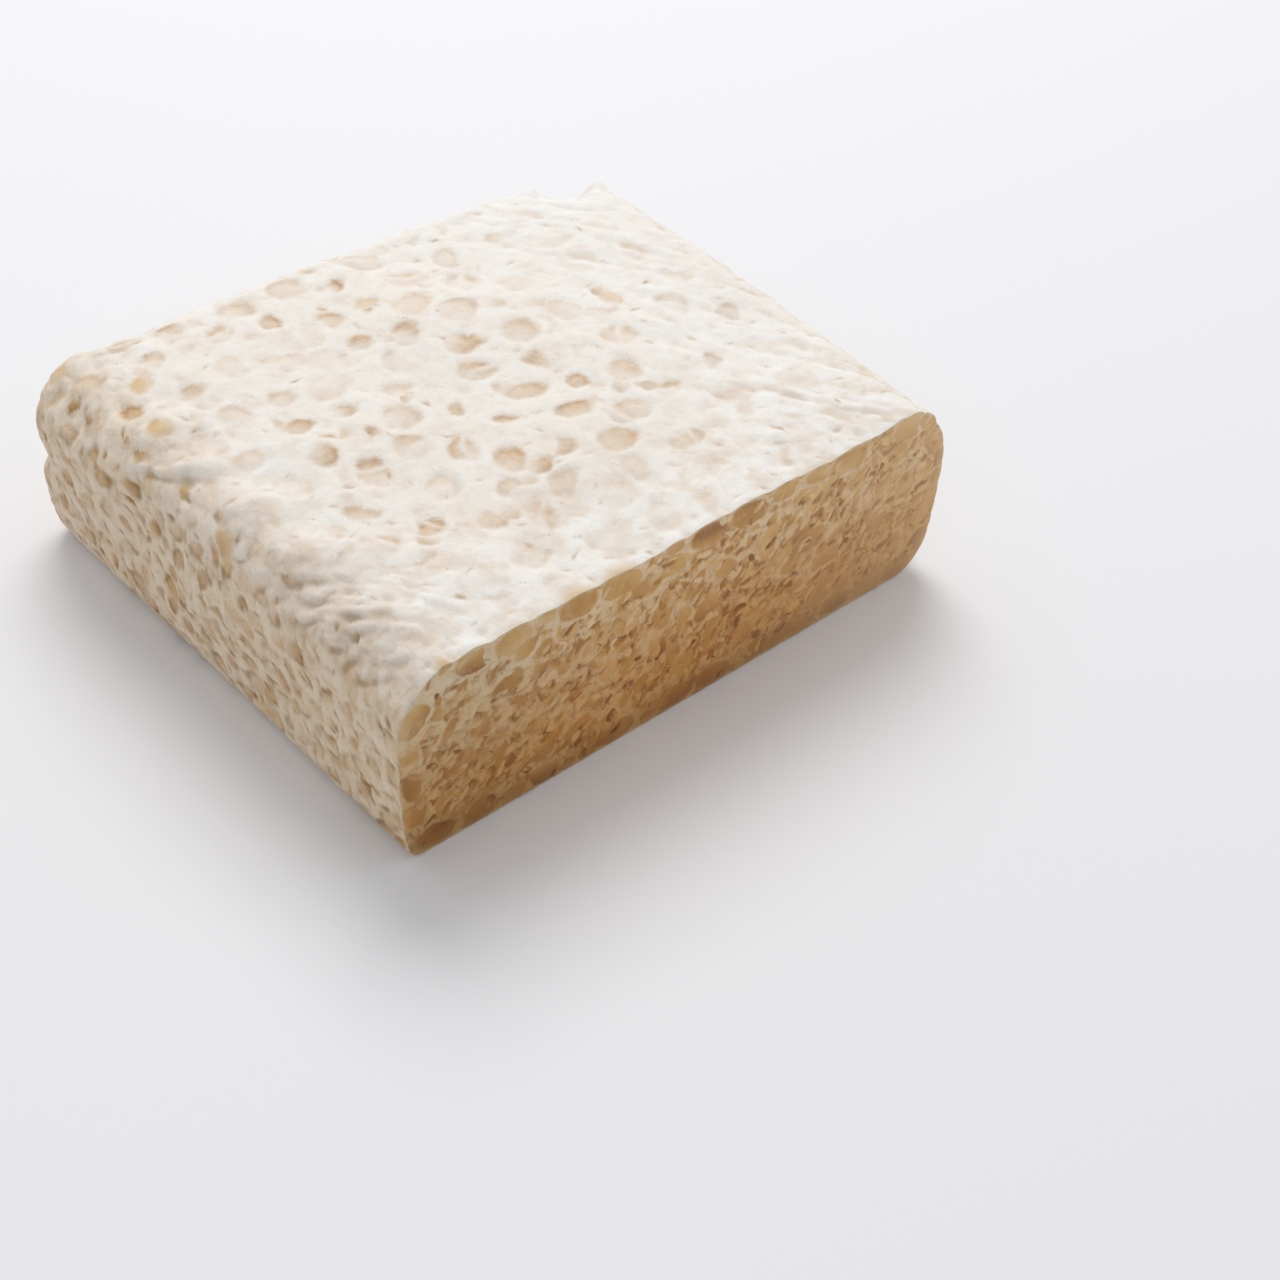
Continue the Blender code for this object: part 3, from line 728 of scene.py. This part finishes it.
def build_cut(draw, rim, inward, centre, row):
    step = 0.262
    inset = 0.06
    gx = stations(WIDTH - 2 * inset, step, 0.0) + inset
    gz = stations(HEIGHT - 2 * inset, step, 0.0) + inset
    nx, nz = len(gx), len(gz)
    mx, mz = np.meshgrid(gx, gz, indexing="ij")
    q = np.stack([mx.ravel(), np.zeros(mx.size), mz.ravel()], 1)
    p = slab(q)
    p[:, 1] = 0.0
    # Follow the skin's own uneven rim.
    follow = slab_rim_offset(p, rim)
    p[:, 0] += follow[:, 0]
    p[:, 2] += follow[:, 1]
    depth_in = follow[:, 2]  # distance from the rim

    warp = np.stack([0.62 * noise(p, 4.6, s) + 0.40 * noise(p, 1.9, s + 1) + 0.16 * noise(p, 0.85, s + 2) for s in (141, 151)], 1)
    # The row under the skin keeps its ovals.
    warp *= (0.35 + 0.65 * smoothstep(3.0, 7.0, depth_in))[:, None]
    pts = np.stack([p[:, 0], p[:, 2]], 1) + warp
    upper_left = (1.0 - smoothstep(30.0, 80.0, p[:, 0])) * smoothstep(6.0, 24.0, p[:, 2])
    uneven = np.clip(0.55 + 0.45 * upper_left + 1.6 * noise(p, 5.5, 161) + 0.5 * noise(p, 2.0, 162), 0.0, 1.9)
    f = paint_sections(pts, pick_sections(draw, rim, inward, row), uneven)
    mould, tone, out, smooth = f["mould"], f["tone"], f["out"], f["smooth"]

    # Threads of mould that wander across, some slots between the flakes and a few holes.
    lift = np.stack([warp[:, 0], warp[:, 0] * 0, warp[:, 1]], 1)
    left_part = 1.0 - smoothstep(20.0, 95.0, p[:, 0])
    thread = np.abs(noise(p + 1.3 * lift, 6.0, 171))
    thread = (1.0 - smoothstep(0.02 + 0.03 * upper_left, 0.10 + 0.06 * upper_left, thread)) * smoothstep(-0.10, 0.30, noise(p, 11.0, 172) + 0.25 * left_part + 0.25 * upper_left - 0.1)
    thread *= (1.0 - 0.75 * smooth) * smoothstep(4.0, 16.0, p[:, 2])
    slot = np.abs(noise(p + 0.8 * lift[:, ::-1], (2.6, 1.0, 1.7), 173))
    slot = (1.0 - smoothstep(0.02, 0.10, slot)) * smoothstep(0.50, 0.72, noise(p, 3.4, 174)) * smoothstep(1.2, 3.0, depth_in) * (1.0 - smooth)
    hole = np.clip(1.7 * noise(p, 2.1, 175) - 1.34, 0.0, 1.0) * smoothstep(2.0, 4.0, depth_in)

    out += 0.06 * layers(p, 1.5, 2, 181) * (1.0 - 0.6 * smooth) + 0.18 * noise(p, 10.0, 182) + 0.10 * thread - 0.45 * slot - 0.8 * hole
    out = np.clip(out, -1.6, 0.60)
    out *= smoothstep(0.0, 1.0, depth_in)
    p[:, 1] = -out - 0.02

    grid = out.reshape(nx, nz)
    # How far each point lies below its smoothed surroundings, for painted shade in hollows and a painted highlight on
    # raised parts.
    hollow = (soften(grid, 5) - grid).ravel()

    ids = np.arange(nx * nz).reshape(nx, nz)
    quads = grid_quads(ids, False)
    n = np.cross(p[quads[:, 2]] - p[quads[:, 0]], p[quads[:, 3]] - p[quads[:, 1]])
    if n[:, 1].mean() > 0:
        quads = quads[:, ::-1]
    border = np.concatenate([ids[:, 0], ids[-1, 1:], ids[::-1, -1][1:], ids[0, ::-1][1:-1]])
    co = [p]
    mid = np.array([WIDTH / 2, 0.0, HEIGHT / 2])
    ring = p[border]
    pull = mid - ring
    pull[:, 1] = 0.0
    pull /= np.linalg.norm(pull, axis=1)[:, None]
    rings = [border]
    count = len(p)
    for inset, level in ((0.10, 0.4), (0.5, 1.3)):
        more = ring + pull * inset
        more[:, 1] = level
        co.append(more)
        rings.append(np.arange(count, count + len(border)))
        count += len(border)
    strips = np.concatenate([np.stack([a, np.roll(a, -1), np.roll(b, -1), b], 1) for a, b in zip(rings[:-1], rings[1:])])
    co = np.concatenate(co)
    cap = rings[-1]
    probe = np.cross(co[strips[:, 2]] - co[strips[:, 0]], co[strips[:, 3]] - co[strips[:, 1]])
    if (probe * (co[strips[:, 0]] - mid)).sum(1).mean() < 0:
        strips = strips[:, ::-1]
    area = np.cross(co[cap] - mid, np.roll(co[cap], -1, 0) - mid)[:, 1].sum()
    if area < 0:
        cap = cap[::-1]
    cut = make_mesh("tempeh_cut", co - centre, [quads, strips, cap[None, :]], make_cut_material())
    sharpen(cut, border)
    extra = len(co) - len(p)

    def tail(values, fill):
        return np.concatenate([values, np.full(extra, fill)])

    add_values(
        cut,
        mould=tail(mould, 1.0),
        tone=tail(tone, 0.5),
        # Painted shade in hollows and a painted highlight on raised parts.
        hollow=tail(hollow, 0.0),
        thread=tail(thread, 0.0),
        # Painted shade in the slots and holes.
        dark=tail(np.clip(slot + hole, 0.0, 1.0), 0.0),
        rimward=tail(np.exp(-depth_in / 0.55), 1.0),
        # Painted shade towards the bottom, and along the foot.
        low=tail(1.0 - smoothstep(10.0, 43.0, p[:, 2]), 0.5),
        foot=tail(1.0 - smoothstep(0.0, 12.0, p[:, 2]), 0.5),
        whole=tail(smooth, 0.0),
        left=tail(1.0 - smoothstep(12.0, 55.0, p[:, 0]), 0.5),
        right=tail(smoothstep(70.0, 138.0, p[:, 0]), 0.5),
    )
    return cut


def soften(grid, radius):
    """A smooth average over the grid's neighbours."""
    for _ in range(2):
        for axis in (0, 1):
            pad = [(radius + 1, radius) if a == axis else (0, 0) for a in (0, 1)]
            total = np.cumsum(np.pad(grid, pad, mode="edge"), axis=axis)
            n = total.shape[axis]
            high = np.take(total, range(2 * radius + 1, n), axis=axis)
            low = np.take(total, range(0, n - 2 * radius - 1), axis=axis)
            grid = (high - low) / (2 * radius + 1)
    return grid


def slab_rim_offset(p, rim):
    """For each point of the cut: how far to move it so that the outline meets the skin's rim, and its distance from the rim."""
    plain = slab(rim_q())
    shift = rim - plain
    result = np.zeros((len(p), 3))
    for start in range(0, len(p), 4000):
        part = p[start : start + 4000]
        d = (part[:, None, 0] - plain[None, :, 0]) ** 2 + (part[:, None, 2] - plain[None, :, 2]) ** 2
        nearest = d.argmin(1)
        dist = np.sqrt(d[np.arange(len(part)), nearest])
        fade = np.exp(-((dist / 3.5) ** 2))
        result[start : start + 4000, 0] = shift[nearest, 0] * fade
        result[start : start + 4000, 1] = shift[nearest, 2] * fade
        result[start : start + 4000, 2] = dist
    return result


def rim_q():
    """The box points of the rim, in the same order as the skin's front loop."""
    top = np.stack([XS, np.zeros(NX + 1), np.full(NX + 1, HEIGHT)], 1)
    right = np.stack([np.full(NZ, WIDTH), np.zeros(NZ), ZS[:-1][::-1]], 1)
    front = np.stack([XS[1:-1][::-1], np.zeros(NX - 1), np.zeros(NX - 1)], 1)
    left = np.stack([np.zeros(NZ), np.zeros(NZ), ZS[:-1]], 1)
    return np.concatenate([top, right, front, left])


def pick_row(draw, rim):
    """The ovals that lie along the rim, just under the skin: sizes, and where along the rim each lies."""
    step = np.linalg.norm(np.roll(rim, -1, 0) - rim, axis=1)
    path = np.concatenate([[0], np.cumsum(step)[:-1]])
    total = step.sum()
    row = []
    s = draw.uniform(0.0, 2.0)
    while s < total - 6.0:
        a = draw.uniform(1.5, 2.6) if draw.rand() < 0.24 else draw.uniform(3.0, 5.3)
        if draw.rand() < 0.90:
            row.append({"a": a, "b": min(a * draw.uniform(0.50, 0.74), 2.8), "s": s + a, "lean": draw.normal() * 0.16, "gap": draw.uniform(0.0, 0.30), "tint": draw.uniform(0.85, 1.25) if draw.rand() < 0.16 else 0.45 * draw.rand() ** 2})
        s += 2.0 * a + draw.uniform(0.1, 1.1)
    return row, path, total


def pick_sections(draw, rim, inward, row):
    """What lies on the cut, in the order in which it hides what was laid before: crumbs, bits, whole beans, the row."""
    row, path, total = row
    low, high = rim.min(0), rim.max(0)
    edge = rim[:, [0, 2]]
    items = []

    def spot():
        while True:
            c = np.array([draw.uniform(low[0] + 1.0, high[0] - 1.0), draw.uniform(low[2] + 1.0, high[2] - 1.0)])
            d = np.sqrt(((edge - c) ** 2).sum(1)).min()
            if d > 0.8:
                return c, d

    def lay(c, a, b, turn, tone, ring, cover, soft, level, dome, tilt, mould=0.0, smooth=0.0, bend=0.0, shade=0.0):
        items.append({"c": c, "a": a, "b": b, "turn": turn, "tone": tone, "ring": ring, "cover": cover, "soft": soft, "level": level, "dome": dome, "tilt": draw.normal(0.0, 1.0, 2) * tilt, "mould": mould, "smooth": smooth, "bend": bend, "shade": shade})

    def grain(c):
        # Which way the broken pieces run, on the whole up towards the right.
        at = np.array([[c[0], 0.0, c[1]]])
        return 0.72 + 0.9 * float(noise(at, 19.0, 191)[0]) + draw.normal() * 0.42

    def crumbs(count, size, soft):
        for _ in range(count):
            c, d = spot()
            a = draw.uniform(*size)
            pale = draw.rand() < 0.34
            lay(c, a, a * draw.uniform(0.32, 0.78), grain(c), draw.normal(0.54, 0.28), 0.12, 0.30, soft, draw.normal() * 0.17 + (0.08 if pale else -0.03), 0.08, 0.15, draw.uniform(0.55, 1.0) if pale else draw.uniform(0.0, 0.22), 0.0, draw.normal() * 0.35, draw.normal() * 0.12)

    crumbs(2600, (0.9, 2.7), 0.20)
    for _ in range(330):
        c, d = spot()
        a = draw.uniform(1.2, 2.7)
        lay(c, a, a * draw.uniform(0.45, 0.80), grain(c) + draw.normal() * 0.4, draw.normal(0.48, 0.16), draw.uniform(0.1, 0.7), draw.uniform(0.3, 0.9), 0.26, draw.normal() * 0.11, 0.14, 0.08, draw.uniform(0.0, 0.35) ** 1.5, 0.3, draw.normal() * 0.15, draw.normal() * 0.12)
    crumbs(700, (0.8, 2.2), 0.20)
    # Whole beans; more of them at the left end and under the top.
    placed = []
    for _ in range(1500):
        c, d = spot()
        share = 0.22 + 0.85 * float(1.0 - smoothstep(20.0, 70.0, c[0])) + 0.35 * float(smoothstep(24.0, 36.0, c[1]))
        a = draw.uniform(2.4, 4.9)
        b = a * draw.uniform(0.46, 0.72)
        if draw.rand() > share or d < b + 2.0:
            continue
        if placed and min(np.hypot(*(c - e)) - 0.95 * (math.sqrt(a * b) + g) for e, g in placed) < 0.4:
            continue
        placed.append((c, math.sqrt(a * b)))
        lay(c, a, b, grain(c) + draw.normal() * 0.35, draw.normal(0.48, 0.15), draw.uniform(0.3, 1.5), draw.uniform(0.6, 1.0), 0.44, draw.normal() * 0.05 + 0.03, 0.14, 0.03, draw.uniform(0.0, 0.2), 0.85, draw.normal() * 0.08, draw.normal() * 0.14)
        if len(placed) >= 88:
            break
    crumbs(480, (0.7, 2.1), 0.20)
    for o in row:
        k = int(np.searchsorted(path, o["s"])) % len(rim)
        ahead = rim[(k + 3) % len(rim)] - rim[k - 3]
        c = rim[k] + inward[k] * (o["b"] + 0.3 * o["a"] * abs(math.sin(o["lean"])) + o["gap"])
        lay(np.array([c[0], c[2]]), o["a"], o["b"], math.atan2(ahead[2], ahead[0]) + o["lean"], draw.normal(0.54, 0.15), draw.uniform(0.7, 1.8), draw.uniform(0.85, 1.0), 0.42, 0.06, 0.18, 0.02, draw.uniform(0.0, 0.2), 0.8, draw.normal() * 0.06, draw.normal() * 0.22)
    crumbs(190, (0.6, 1.6), 0.18)
    return items


def paint_sections(pts, items, uneven):
    """Lays the pieces one over another: how mouldy each point is, its tone, how far it stands out and how smooth it is."""
    n = len(pts)
    f = {"mould": np.full(n, 0.75), "tone": np.full(n, 0.5), "out": np.full(n, -0.15), "smooth": np.zeros(n)}
    order = np.argsort(pts[:, 0], kind="stable")
    xs = pts[order, 0]
    for s in items:
        c, a, b = s["c"], s["a"], s["b"]
        reach = a * 1.25 + s["ring"] + 0.5
        part = order[np.searchsorted(xs, c[0] - reach) : np.searchsorted(xs, c[0] + reach)]
        near = part[np.abs(pts[part, 1] - c[1]) < reach]
        if not len(near):
            continue
        d = pts[near] - c
        ct, st = math.cos(s["turn"]), math.sin(s["turn"])
        u, v = (d[:, 0] * ct + d[:, 1] * st) / a, (d[:, 1] * ct - d[:, 0] * st) / b
        v = v + s["bend"] * (u * u - 0.3)
        size = math.sqrt(a * b)
        r = (np.abs(u) ** 2.3 + np.abs(v) ** 2.3) ** (1 / 2.3)
        inside = (1.0 - r) * size
        wide = s["ring"] * np.maximum(uneven[near], 0.6 * s["smooth"] * s["cover"])
        around = s["cover"] * smoothstep(-wide - 0.38, -wide + 0.30, inside) * np.clip(0.25 + uneven[near], 0.0, 1.0)
        f["mould"][near] += around * (1.0 - f["mould"][near])
        f["out"][near] += 0.7 * around * (-0.04 - f["out"][near])
        f["smooth"][near] *= 1.0 - around
        on = smoothstep(-s["soft"], s["soft"], inside)
        f["mould"][near] += on * (s["mould"] - f["mould"][near])
        f["tone"][near] += on * (s["tone"] + s["shade"] * v - f["tone"][near])
        f["smooth"][near] += on * (s["smooth"] - f["smooth"][near])
        lie = s["level"] + s["dome"] * np.sqrt(np.clip(1.0 - r * r, 0.0, 1.0)) + (s["tilt"][0] * u * a + s["tilt"][1] * v * b)
        f["out"][near] += on * (lie - f["out"][near])
    return f


# ---------------------------------------------------------------- materials


def linear(r, g, b):
    return tuple((c / 255.0 / 12.92) if c <= 10 else (((c / 255.0) + 0.055) / 1.055) ** 2.4 for c in (r, g, b)) + (1.0,)


class Nodes:
    def __init__(self, name):
        self.material = bpy.data.materials.new(name)
        self.material.use_nodes = True
        self.tree = self.material.node_tree
        self.shader = self.tree.nodes["Principled BSDF"]
        self.coord = self.tree.nodes.new("ShaderNodeTexCoord").outputs["Object"]

    def link(self, a, b):
        self.tree.links.new(a, b)

    def value(self, name):
        node = self.tree.nodes.new("ShaderNodeAttribute")
        node.attribute_name = name
        return node.outputs["Fac"]

    def math(self, op, a, b=None, c=None, clamp=False):
        node = self.tree.nodes.new("ShaderNodeMath")
        node.operation = op
        node.use_clamp = clamp
        for k, value in enumerate((a, b, c)):
            if value is None:
                continue
            if isinstance(value, (int, float)):
                node.inputs[k].default_value = value
            else:
                self.link(value, node.inputs[k])
        return node.outputs[0]

    def noise(self, millimetres, detail=2.0, rough=0.5, distort=0.0):
        """Fractal noise around 0, about -0.5 to 0.5."""
        node = self.tree.nodes.new("ShaderNodeTexNoise")
        node.inputs["Scale"].default_value = 1.0 / (millimetres * METRE)
        node.inputs["Detail"].default_value = detail
        node.inputs["Roughness"].default_value = rough
        node.inputs["Distortion"].default_value = distort
        self.link(self.coord, node.inputs["Vector"])
        return self.math("SUBTRACT", node.outputs["Fac"], 0.5)

    def ramp(self, value, low, high, out_low=0.0, out_high=1.0):
        node = self.tree.nodes.new("ShaderNodeMapRange")
        node.interpolation_type = "SMOOTHSTEP"
        for key, number in (("From Min", low), ("From Max", high), ("To Min", out_low), ("To Max", out_high)):
            node.inputs[key].default_value = number
        self.link(value, node.inputs["Value"])
        return node.outputs["Result"]

    def colours(self, value, stops):
        node = self.tree.nodes.new("ShaderNodeValToRGB")
        ramp = node.color_ramp
        while len(ramp.elements) < len(stops):
            ramp.elements.new(0.5)
        for element, (place, colour) in zip(ramp.elements, stops):
            element.position = place
            element.color = linear(*colour)
        self.link(value, node.inputs["Fac"])
        return node.outputs["Color"]

    def blend(self, share, a, b, mode="MIX"):
        node = self.tree.nodes.new("ShaderNodeMix")
        node.data_type = "RGBA"
        node.blend_type = mode
        node.clamp_factor = True
        if isinstance(share, (int, float)):
            node.inputs[0].default_value = share
        else:
            self.link(share, node.inputs[0])
        for socket, value in ((node.inputs[6], a), (node.inputs[7], b)):
            if isinstance(value, tuple):
                socket.default_value = linear(*value)
            else:
                self.link(value, socket)
        return node.outputs[2]

    def bump(self, height, distance, strength=1.0, under=None):
        node = self.tree.nodes.new("ShaderNodeBump")
        node.inputs["Strength"].default_value = strength
        node.inputs["Distance"].default_value = distance
        self.link(height, node.inputs["Height"])
        if under is not None:
            self.link(under, node.inputs["Normal"])
        return node.outputs["Normal"]


def make_skin_material():
    m = Nodes("tempeh_skin")
    edge, power, tone, accent, gold, white, hollow, crease, bare, under = (m.value(k) for k in ("edge", "power", "tone", "accent", "gold", "white", "hollow", "crease", "bare", "under"))
    dashes, cool = m.value("dashes"), m.value("cool")
    fine = m.noise(0.8, 3.0, 0.6)
    mid = m.noise(2.4, 3.0)
    wide = m.noise(9.0, 2.0)
    wisp = m.noise(1.5, 4.0, 0.7, 0.5)

    # What shows of the beans: the mould's edge is ragged and wisps cross it.
    rim = m.math("ADD", edge, m.math("MULTIPLY", fine, 0.9))
    rim = m.math("ADD", rim, m.math("MULTIPLY", mid, 0.6))
    shown = m.ramp(rim, -0.62, 0.72)
    shown = m.math("MULTIPLY", shown, m.math("MULTIPLY", power, m.math("ADD", 1.0, m.math("MULTIPLY", wisp, 1.2))), clamp=True)
    hue = m.math("ADD", tone, m.math("MULTIPLY", mid, 0.45))
    # Painted shade and highlight: the beans darker down in the hollows, paler where they stand up.
    hue = m.math("ADD", hue, m.ramp(hollow, -0.15, 0.45, -0.14, 0.26))
    bean = m.colours(hue, [(0.0, (231, 211, 190)), (0.3, (222, 196, 166)), (0.6, (209, 175, 135)), (0.85, (193, 152, 106)), (0.96, (182, 143, 96)), (1.0, (186, 140, 88))])

    golden = m.blend(white, m.blend(m.ramp(tone, 0.35, 1.0), (210, 172, 108), (178, 134, 72)), m.blend(m.ramp(tone, 0.35, 0.85), (228, 184, 108), (200, 142, 72)))
    bean = m.blend(m.math("MULTIPLY", gold, 0.88), bean, golden)

    # The underside shows its beans the same way, pressed flat.
    cells = m.tree.nodes.new("ShaderNodeTexVoronoi")
    cells.inputs["Scale"].default_value = 1.0 / (8.5 * METRE)
    m.link(m.coord, cells.inputs["Vector"])
    flat = m.math("ADD", cells.outputs["Distance"], m.math("MULTIPLY", mid, 0.35))
    flat = m.math("MULTIPLY", m.ramp(flat, 0.42, 0.28), m.math("MULTIPLY", under, 0.65))
    shown = m.math("MAXIMUM", shown, flat)

    ridge = m.blend(m.math("ADD", white, m.math("MULTIPLY", wide, 0.30), clamp=True), (229, 207, 179), (246, 243, 238))
    # Painted shade: the mould turns a darker cream down in the dips; the same colour also lies in random patches.
    dip_shade_and_patch_colour = m.blend(white, (172, 142, 104), (226, 212, 194))
    sunk = m.ramp(m.math("ADD", hollow, m.math("MULTIPLY", mid, 0.25)), 0.02, 0.42)
    mould = m.blend(m.math("MULTIPLY", sunk, 0.75), ridge, dip_shade_and_patch_colour)
    mould = m.blend(m.math("MULTIPLY", m.ramp(m.noise(4.2, 3.0), 0.0, 0.25), 0.30), mould, dip_shade_and_patch_colour)
    blotch = m.math("MULTIPLY", m.ramp(m.noise(6.5, 3.0, 0.55), -0.06, 0.16), m.math("MULTIPLY", dashes, 0.60))
    mould = m.blend(blotch, mould, (229, 213, 194))
    crumbly = m.ramp(m.noise(1.5, 3.0, 0.6), -0.02, 0.20)
    mould = m.blend(m.math("MULTIPLY", crumbly, m.math("SUBTRACT", 0.42, m.math("MULTIPLY", white, 0.42)), clamp=True), mould, (186, 156, 116))
    # Painted highlight: raised parts of the mould are paler.
    ridge_highlight = m.ramp(m.math("ADD", hollow, m.math("MULTIPLY", fine, 0.20)), -0.02, -0.30)
    mould = m.blend(m.math("MULTIPLY", ridge_highlight, m.math("ADD", 0.32, m.math("MULTIPLY", white, 0.30))), mould, m.blend(white, (238, 226, 207), (249, 247, 243)))
    base = m.blend(shown, mould, bean)
    # Painted shade in dark arcs and slits at the beans' rims, and small dark specks.
    base = m.blend(m.math("MULTIPLY", m.math("MULTIPLY", shown, accent), 0.90), base, m.blend(white, (108, 82, 48), (146, 106, 66)))
    # Painted shade: the grooves of folds, the dents and the part under the roll turn a darker beige.
    base = m.blend(m.math("MULTIPLY", crease, 0.55, clamp=True), base, fold_shade_colour(m, white))
    base = m.blend(m.math("MULTIPLY", bare, 0.8, clamp=True), base, (214, 184, 142))
    base = m.blend(m.math("MULTIPLY", cool, 0.50), base, (243, 242, 240))
    m.link(base, m.shader.inputs["Base Color"])
    m.link(m.ramp(shown, 0.0, 1.0, 0.85, 0.60), m.shader.inputs["Roughness"])
    hair = m.noise(0.42, 3.0, 0.7, 0.8)
    height = m.math("ADD", m.math("MULTIPLY", wisp, 0.9), m.math("MULTIPLY", hair, 0.35))
    m.link(m.bump(height, 0.00028, 0.9), m.shader.inputs["Normal"])
    m.shader.inputs["Subsurface Weight"].default_value = 0.18
    m.shader.inputs["Subsurface Radius"].default_value = (1.0, 0.75, 0.5)
    m.shader.inputs["Subsurface Scale"].default_value = 0.0012
    m.shader.inputs["Specular IOR Level"].default_value = 0.25
    return m.material


# The colour of the painted shade in folds.
def fold_shade_colour(m, white):
    return m.blend(white, (160, 132, 98), (204, 188, 168))


def make_cut_material():
    m = Nodes("tempeh_cut")
    mould, tone, hollow, thread, dark, rimward, low, foot, right = (m.value(k) for k in ("mould", "tone", "hollow", "thread", "dark", "rimward", "low", "foot", "right"))
    left, whole = m.value("left"), m.value("whole")
    fine = m.noise(0.6, 3.0, 0.6)
    mid = m.noise(1.7, 3.0, 0.55)
    wide = m.noise(8.0, 2.0)
    cover = m.math("ADD", mould, m.math("MULTIPLY", fine, 0.30))
    cover = m.math("ADD", cover, m.math("MULTIPLY", mid, 0.40))
    cover = m.ramp(cover, 0.05, 0.95)
    hue = m.math("ADD", tone, m.math("MULTIPLY", mid, 0.45))
    hue = m.math("ADD", hue, m.math("MULTIPLY", wide, 0.40))
    bean = m.colours(hue, [(0.0, (232, 198, 144)), (0.3, (221, 180, 119)), (0.55, (208, 161, 97)), (0.8, (190, 139, 77)), (1.0, (164, 111, 56))])
    veil = m.blend(m.ramp(m.noise(2.0, 3.0), -0.2, 0.25), (231, 203, 171), (245, 225, 199))
    base = m.blend(m.math("MULTIPLY", cover, 0.92), bean, veil)
    # Small pale flecks, and dark specks of painted shade that stand in for gaps between the pieces.
    fleck = m.math("MULTIPLY", m.noise(1.9, 2.0, 0.5, 0.8), m.math("SUBTRACT", 1.0, m.math("MULTIPLY", whole, 0.7)))
    base = m.blend(m.math("MULTIPLY", m.ramp(fleck, 0.06, 0.17), m.math("SUBTRACT", 0.50, m.math("MULTIPLY", cover, 0.15))), base, (243, 220, 184))
    base = m.blend(m.math("MULTIPLY", m.ramp(fleck, -0.08, -0.20), 0.42), base, (158, 114, 66))
    base = m.blend(m.math("MULTIPLY", thread, 0.60, clamp=True), base, (234, 209, 176))
    # Painted shade down in the hollows between the pieces, and a painted highlight on the raised ones.
    base = m.blend(m.math("MULTIPLY", m.ramp(m.math("ADD", hollow, m.math("MULTIPLY", fine, 0.10)), 0.03, 0.42), 0.52), base, (148, 104, 58))
    base = m.blend(m.math("MULTIPLY", m.ramp(hollow, -0.02, -0.26), 0.62), base, (243, 216, 172))
    # Painted shade: the slots and holes are darker.
    base = m.blend(m.math("MULTIPLY", dark, 0.42, clamp=True), base, (134, 95, 52))
    # Painted shade towards the bottom: darker and more orange low down, with painted warm bounce light, and darker
    # still along the foot.
    base = m.blend(m.math("MULTIPLY", m.math("ADD", low, m.math("MULTIPLY", wide, 0.5)), 0.80, clamp=True), base, (224, 188, 124), "MULTIPLY")
    base = m.blend(m.math("MULTIPLY", foot, 0.8), base, (208, 205, 188), "MULTIPLY")
    base = m.blend(m.math("MULTIPLY", left, 0.9), base, (236, 236, 228), "MULTIPLY")
    base = m.blend(m.math("MULTIPLY", m.math("SUBTRACT", 1.0, left, clamp=True), 0.65), base, (252, 244, 226), "MULTIPLY")
    base = m.blend(m.math("MULTIPLY", right, 0.25), base, (244, 214, 168))
    base = m.blend(m.math("MULTIPLY", rimward, 0.35, clamp=True), base, (232, 208, 170))
    m.link(base, m.shader.inputs["Base Color"])
    m.link(m.ramp(cover, 0.0, 1.0, 0.5, 0.75), m.shader.inputs["Roughness"])
    grain = m.noise(0.45, 3.0, 0.65)
    m.link(m.bump(m.math("ADD", mid, m.math("MULTIPLY", grain, 0.5)), 0.00022, 0.9), m.shader.inputs["Normal"])
    m.shader.inputs["Subsurface Weight"].default_value = 0.15
    m.shader.inputs["Subsurface Radius"].default_value = (1.0, 0.7, 0.4)
    m.shader.inputs["Subsurface Scale"].default_value = 0.0012
    m.shader.inputs["Specular IOR Level"].default_value = 0.35
    return m.material


def make_floor():
    m = Nodes("floor")
    m.shader.inputs["Base Color"].default_value = (0.858, 0.860, 0.886, 1.0)
    m.shader.inputs["Roughness"].default_value = 0.60
    m.shader.inputs["Specular IOR Level"].default_value = 0.34
    mesh = bpy.data.meshes.new("floor")
    s = 6.0
    mesh.from_pydata([(-s, -s, -0.0002), (s, -s, -0.0002), (s, s, -0.0002), (-s, s, -0.0002)], [], [(0, 1, 2, 3)])
    mesh.materials.append(m.material)
    floor = bpy.data.objects.new("floor", mesh)
    bpy.context.scene.collection.objects.link(floor)


def make_camera():
    azimuth, elevation, roll = (math.radians(v) for v in (-45.407, 42.033, 5.069))
    back = Vector((math.sin(azimuth) * math.cos(elevation), -math.cos(azimuth) * math.cos(elevation), math.sin(elevation)))
    right = Vector((0, 0, 1)).cross(back).normalized()
    up = back.cross(right)
    right, up = math.cos(roll) * right + math.sin(roll) * up, -math.sin(roll) * right + math.cos(roll) * up
    data = bpy.data.cameras.new("camera")
    data.sensor_width = 36.0
    data.lens = 56.83
    data.clip_start, data.clip_end = 0.01, 50.0
    camera = bpy.data.objects.new("camera", data)
    camera.matrix_world = Matrix(((right.x, up.x, back.x, -0.21850), (right.y, up.y, back.y, -0.26201), (right.z, up.z, back.z, 0.27904), (0, 0, 0, 1)))
    bpy.context.scene.collection.objects.link(camera)
    bpy.context.scene.camera = camera


def make_lights():
    world = bpy.data.worlds.new("studio")
    world.use_nodes = True
    background = world.node_tree.nodes["Background"]
    background.inputs["Color"].default_value = (0.985, 1.003, 1.022, 1.0)
    background.inputs["Strength"].default_value = 0.60
    bpy.context.scene.world = world
    for name, place, size, energy in (("key", (0.52, 0.745, 1.26), 0.97, 12.5),):
        data = bpy.data.lights.new(name, "AREA")
        data.shape = "DISK"
        data.size = size
        data.energy = energy
        data.color = (1.0, 0.972, 0.942)
        lamp = bpy.data.objects.new(name, data)
        lamp.location = place
        lamp.rotation_euler = (Vector((0, 0, 0.02)) - Vector(place)).to_track_quat("-Z", "Y").to_euler()
        bpy.context.scene.collection.objects.link(lamp)
    bpy.context.scene.view_settings.view_transform = "Standard"


make_camera()
make_lights()
make_floor()
skin, cut = run_scene()
for piece in (skin, cut):
    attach(piece, "root")
    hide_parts("tempeh_block")
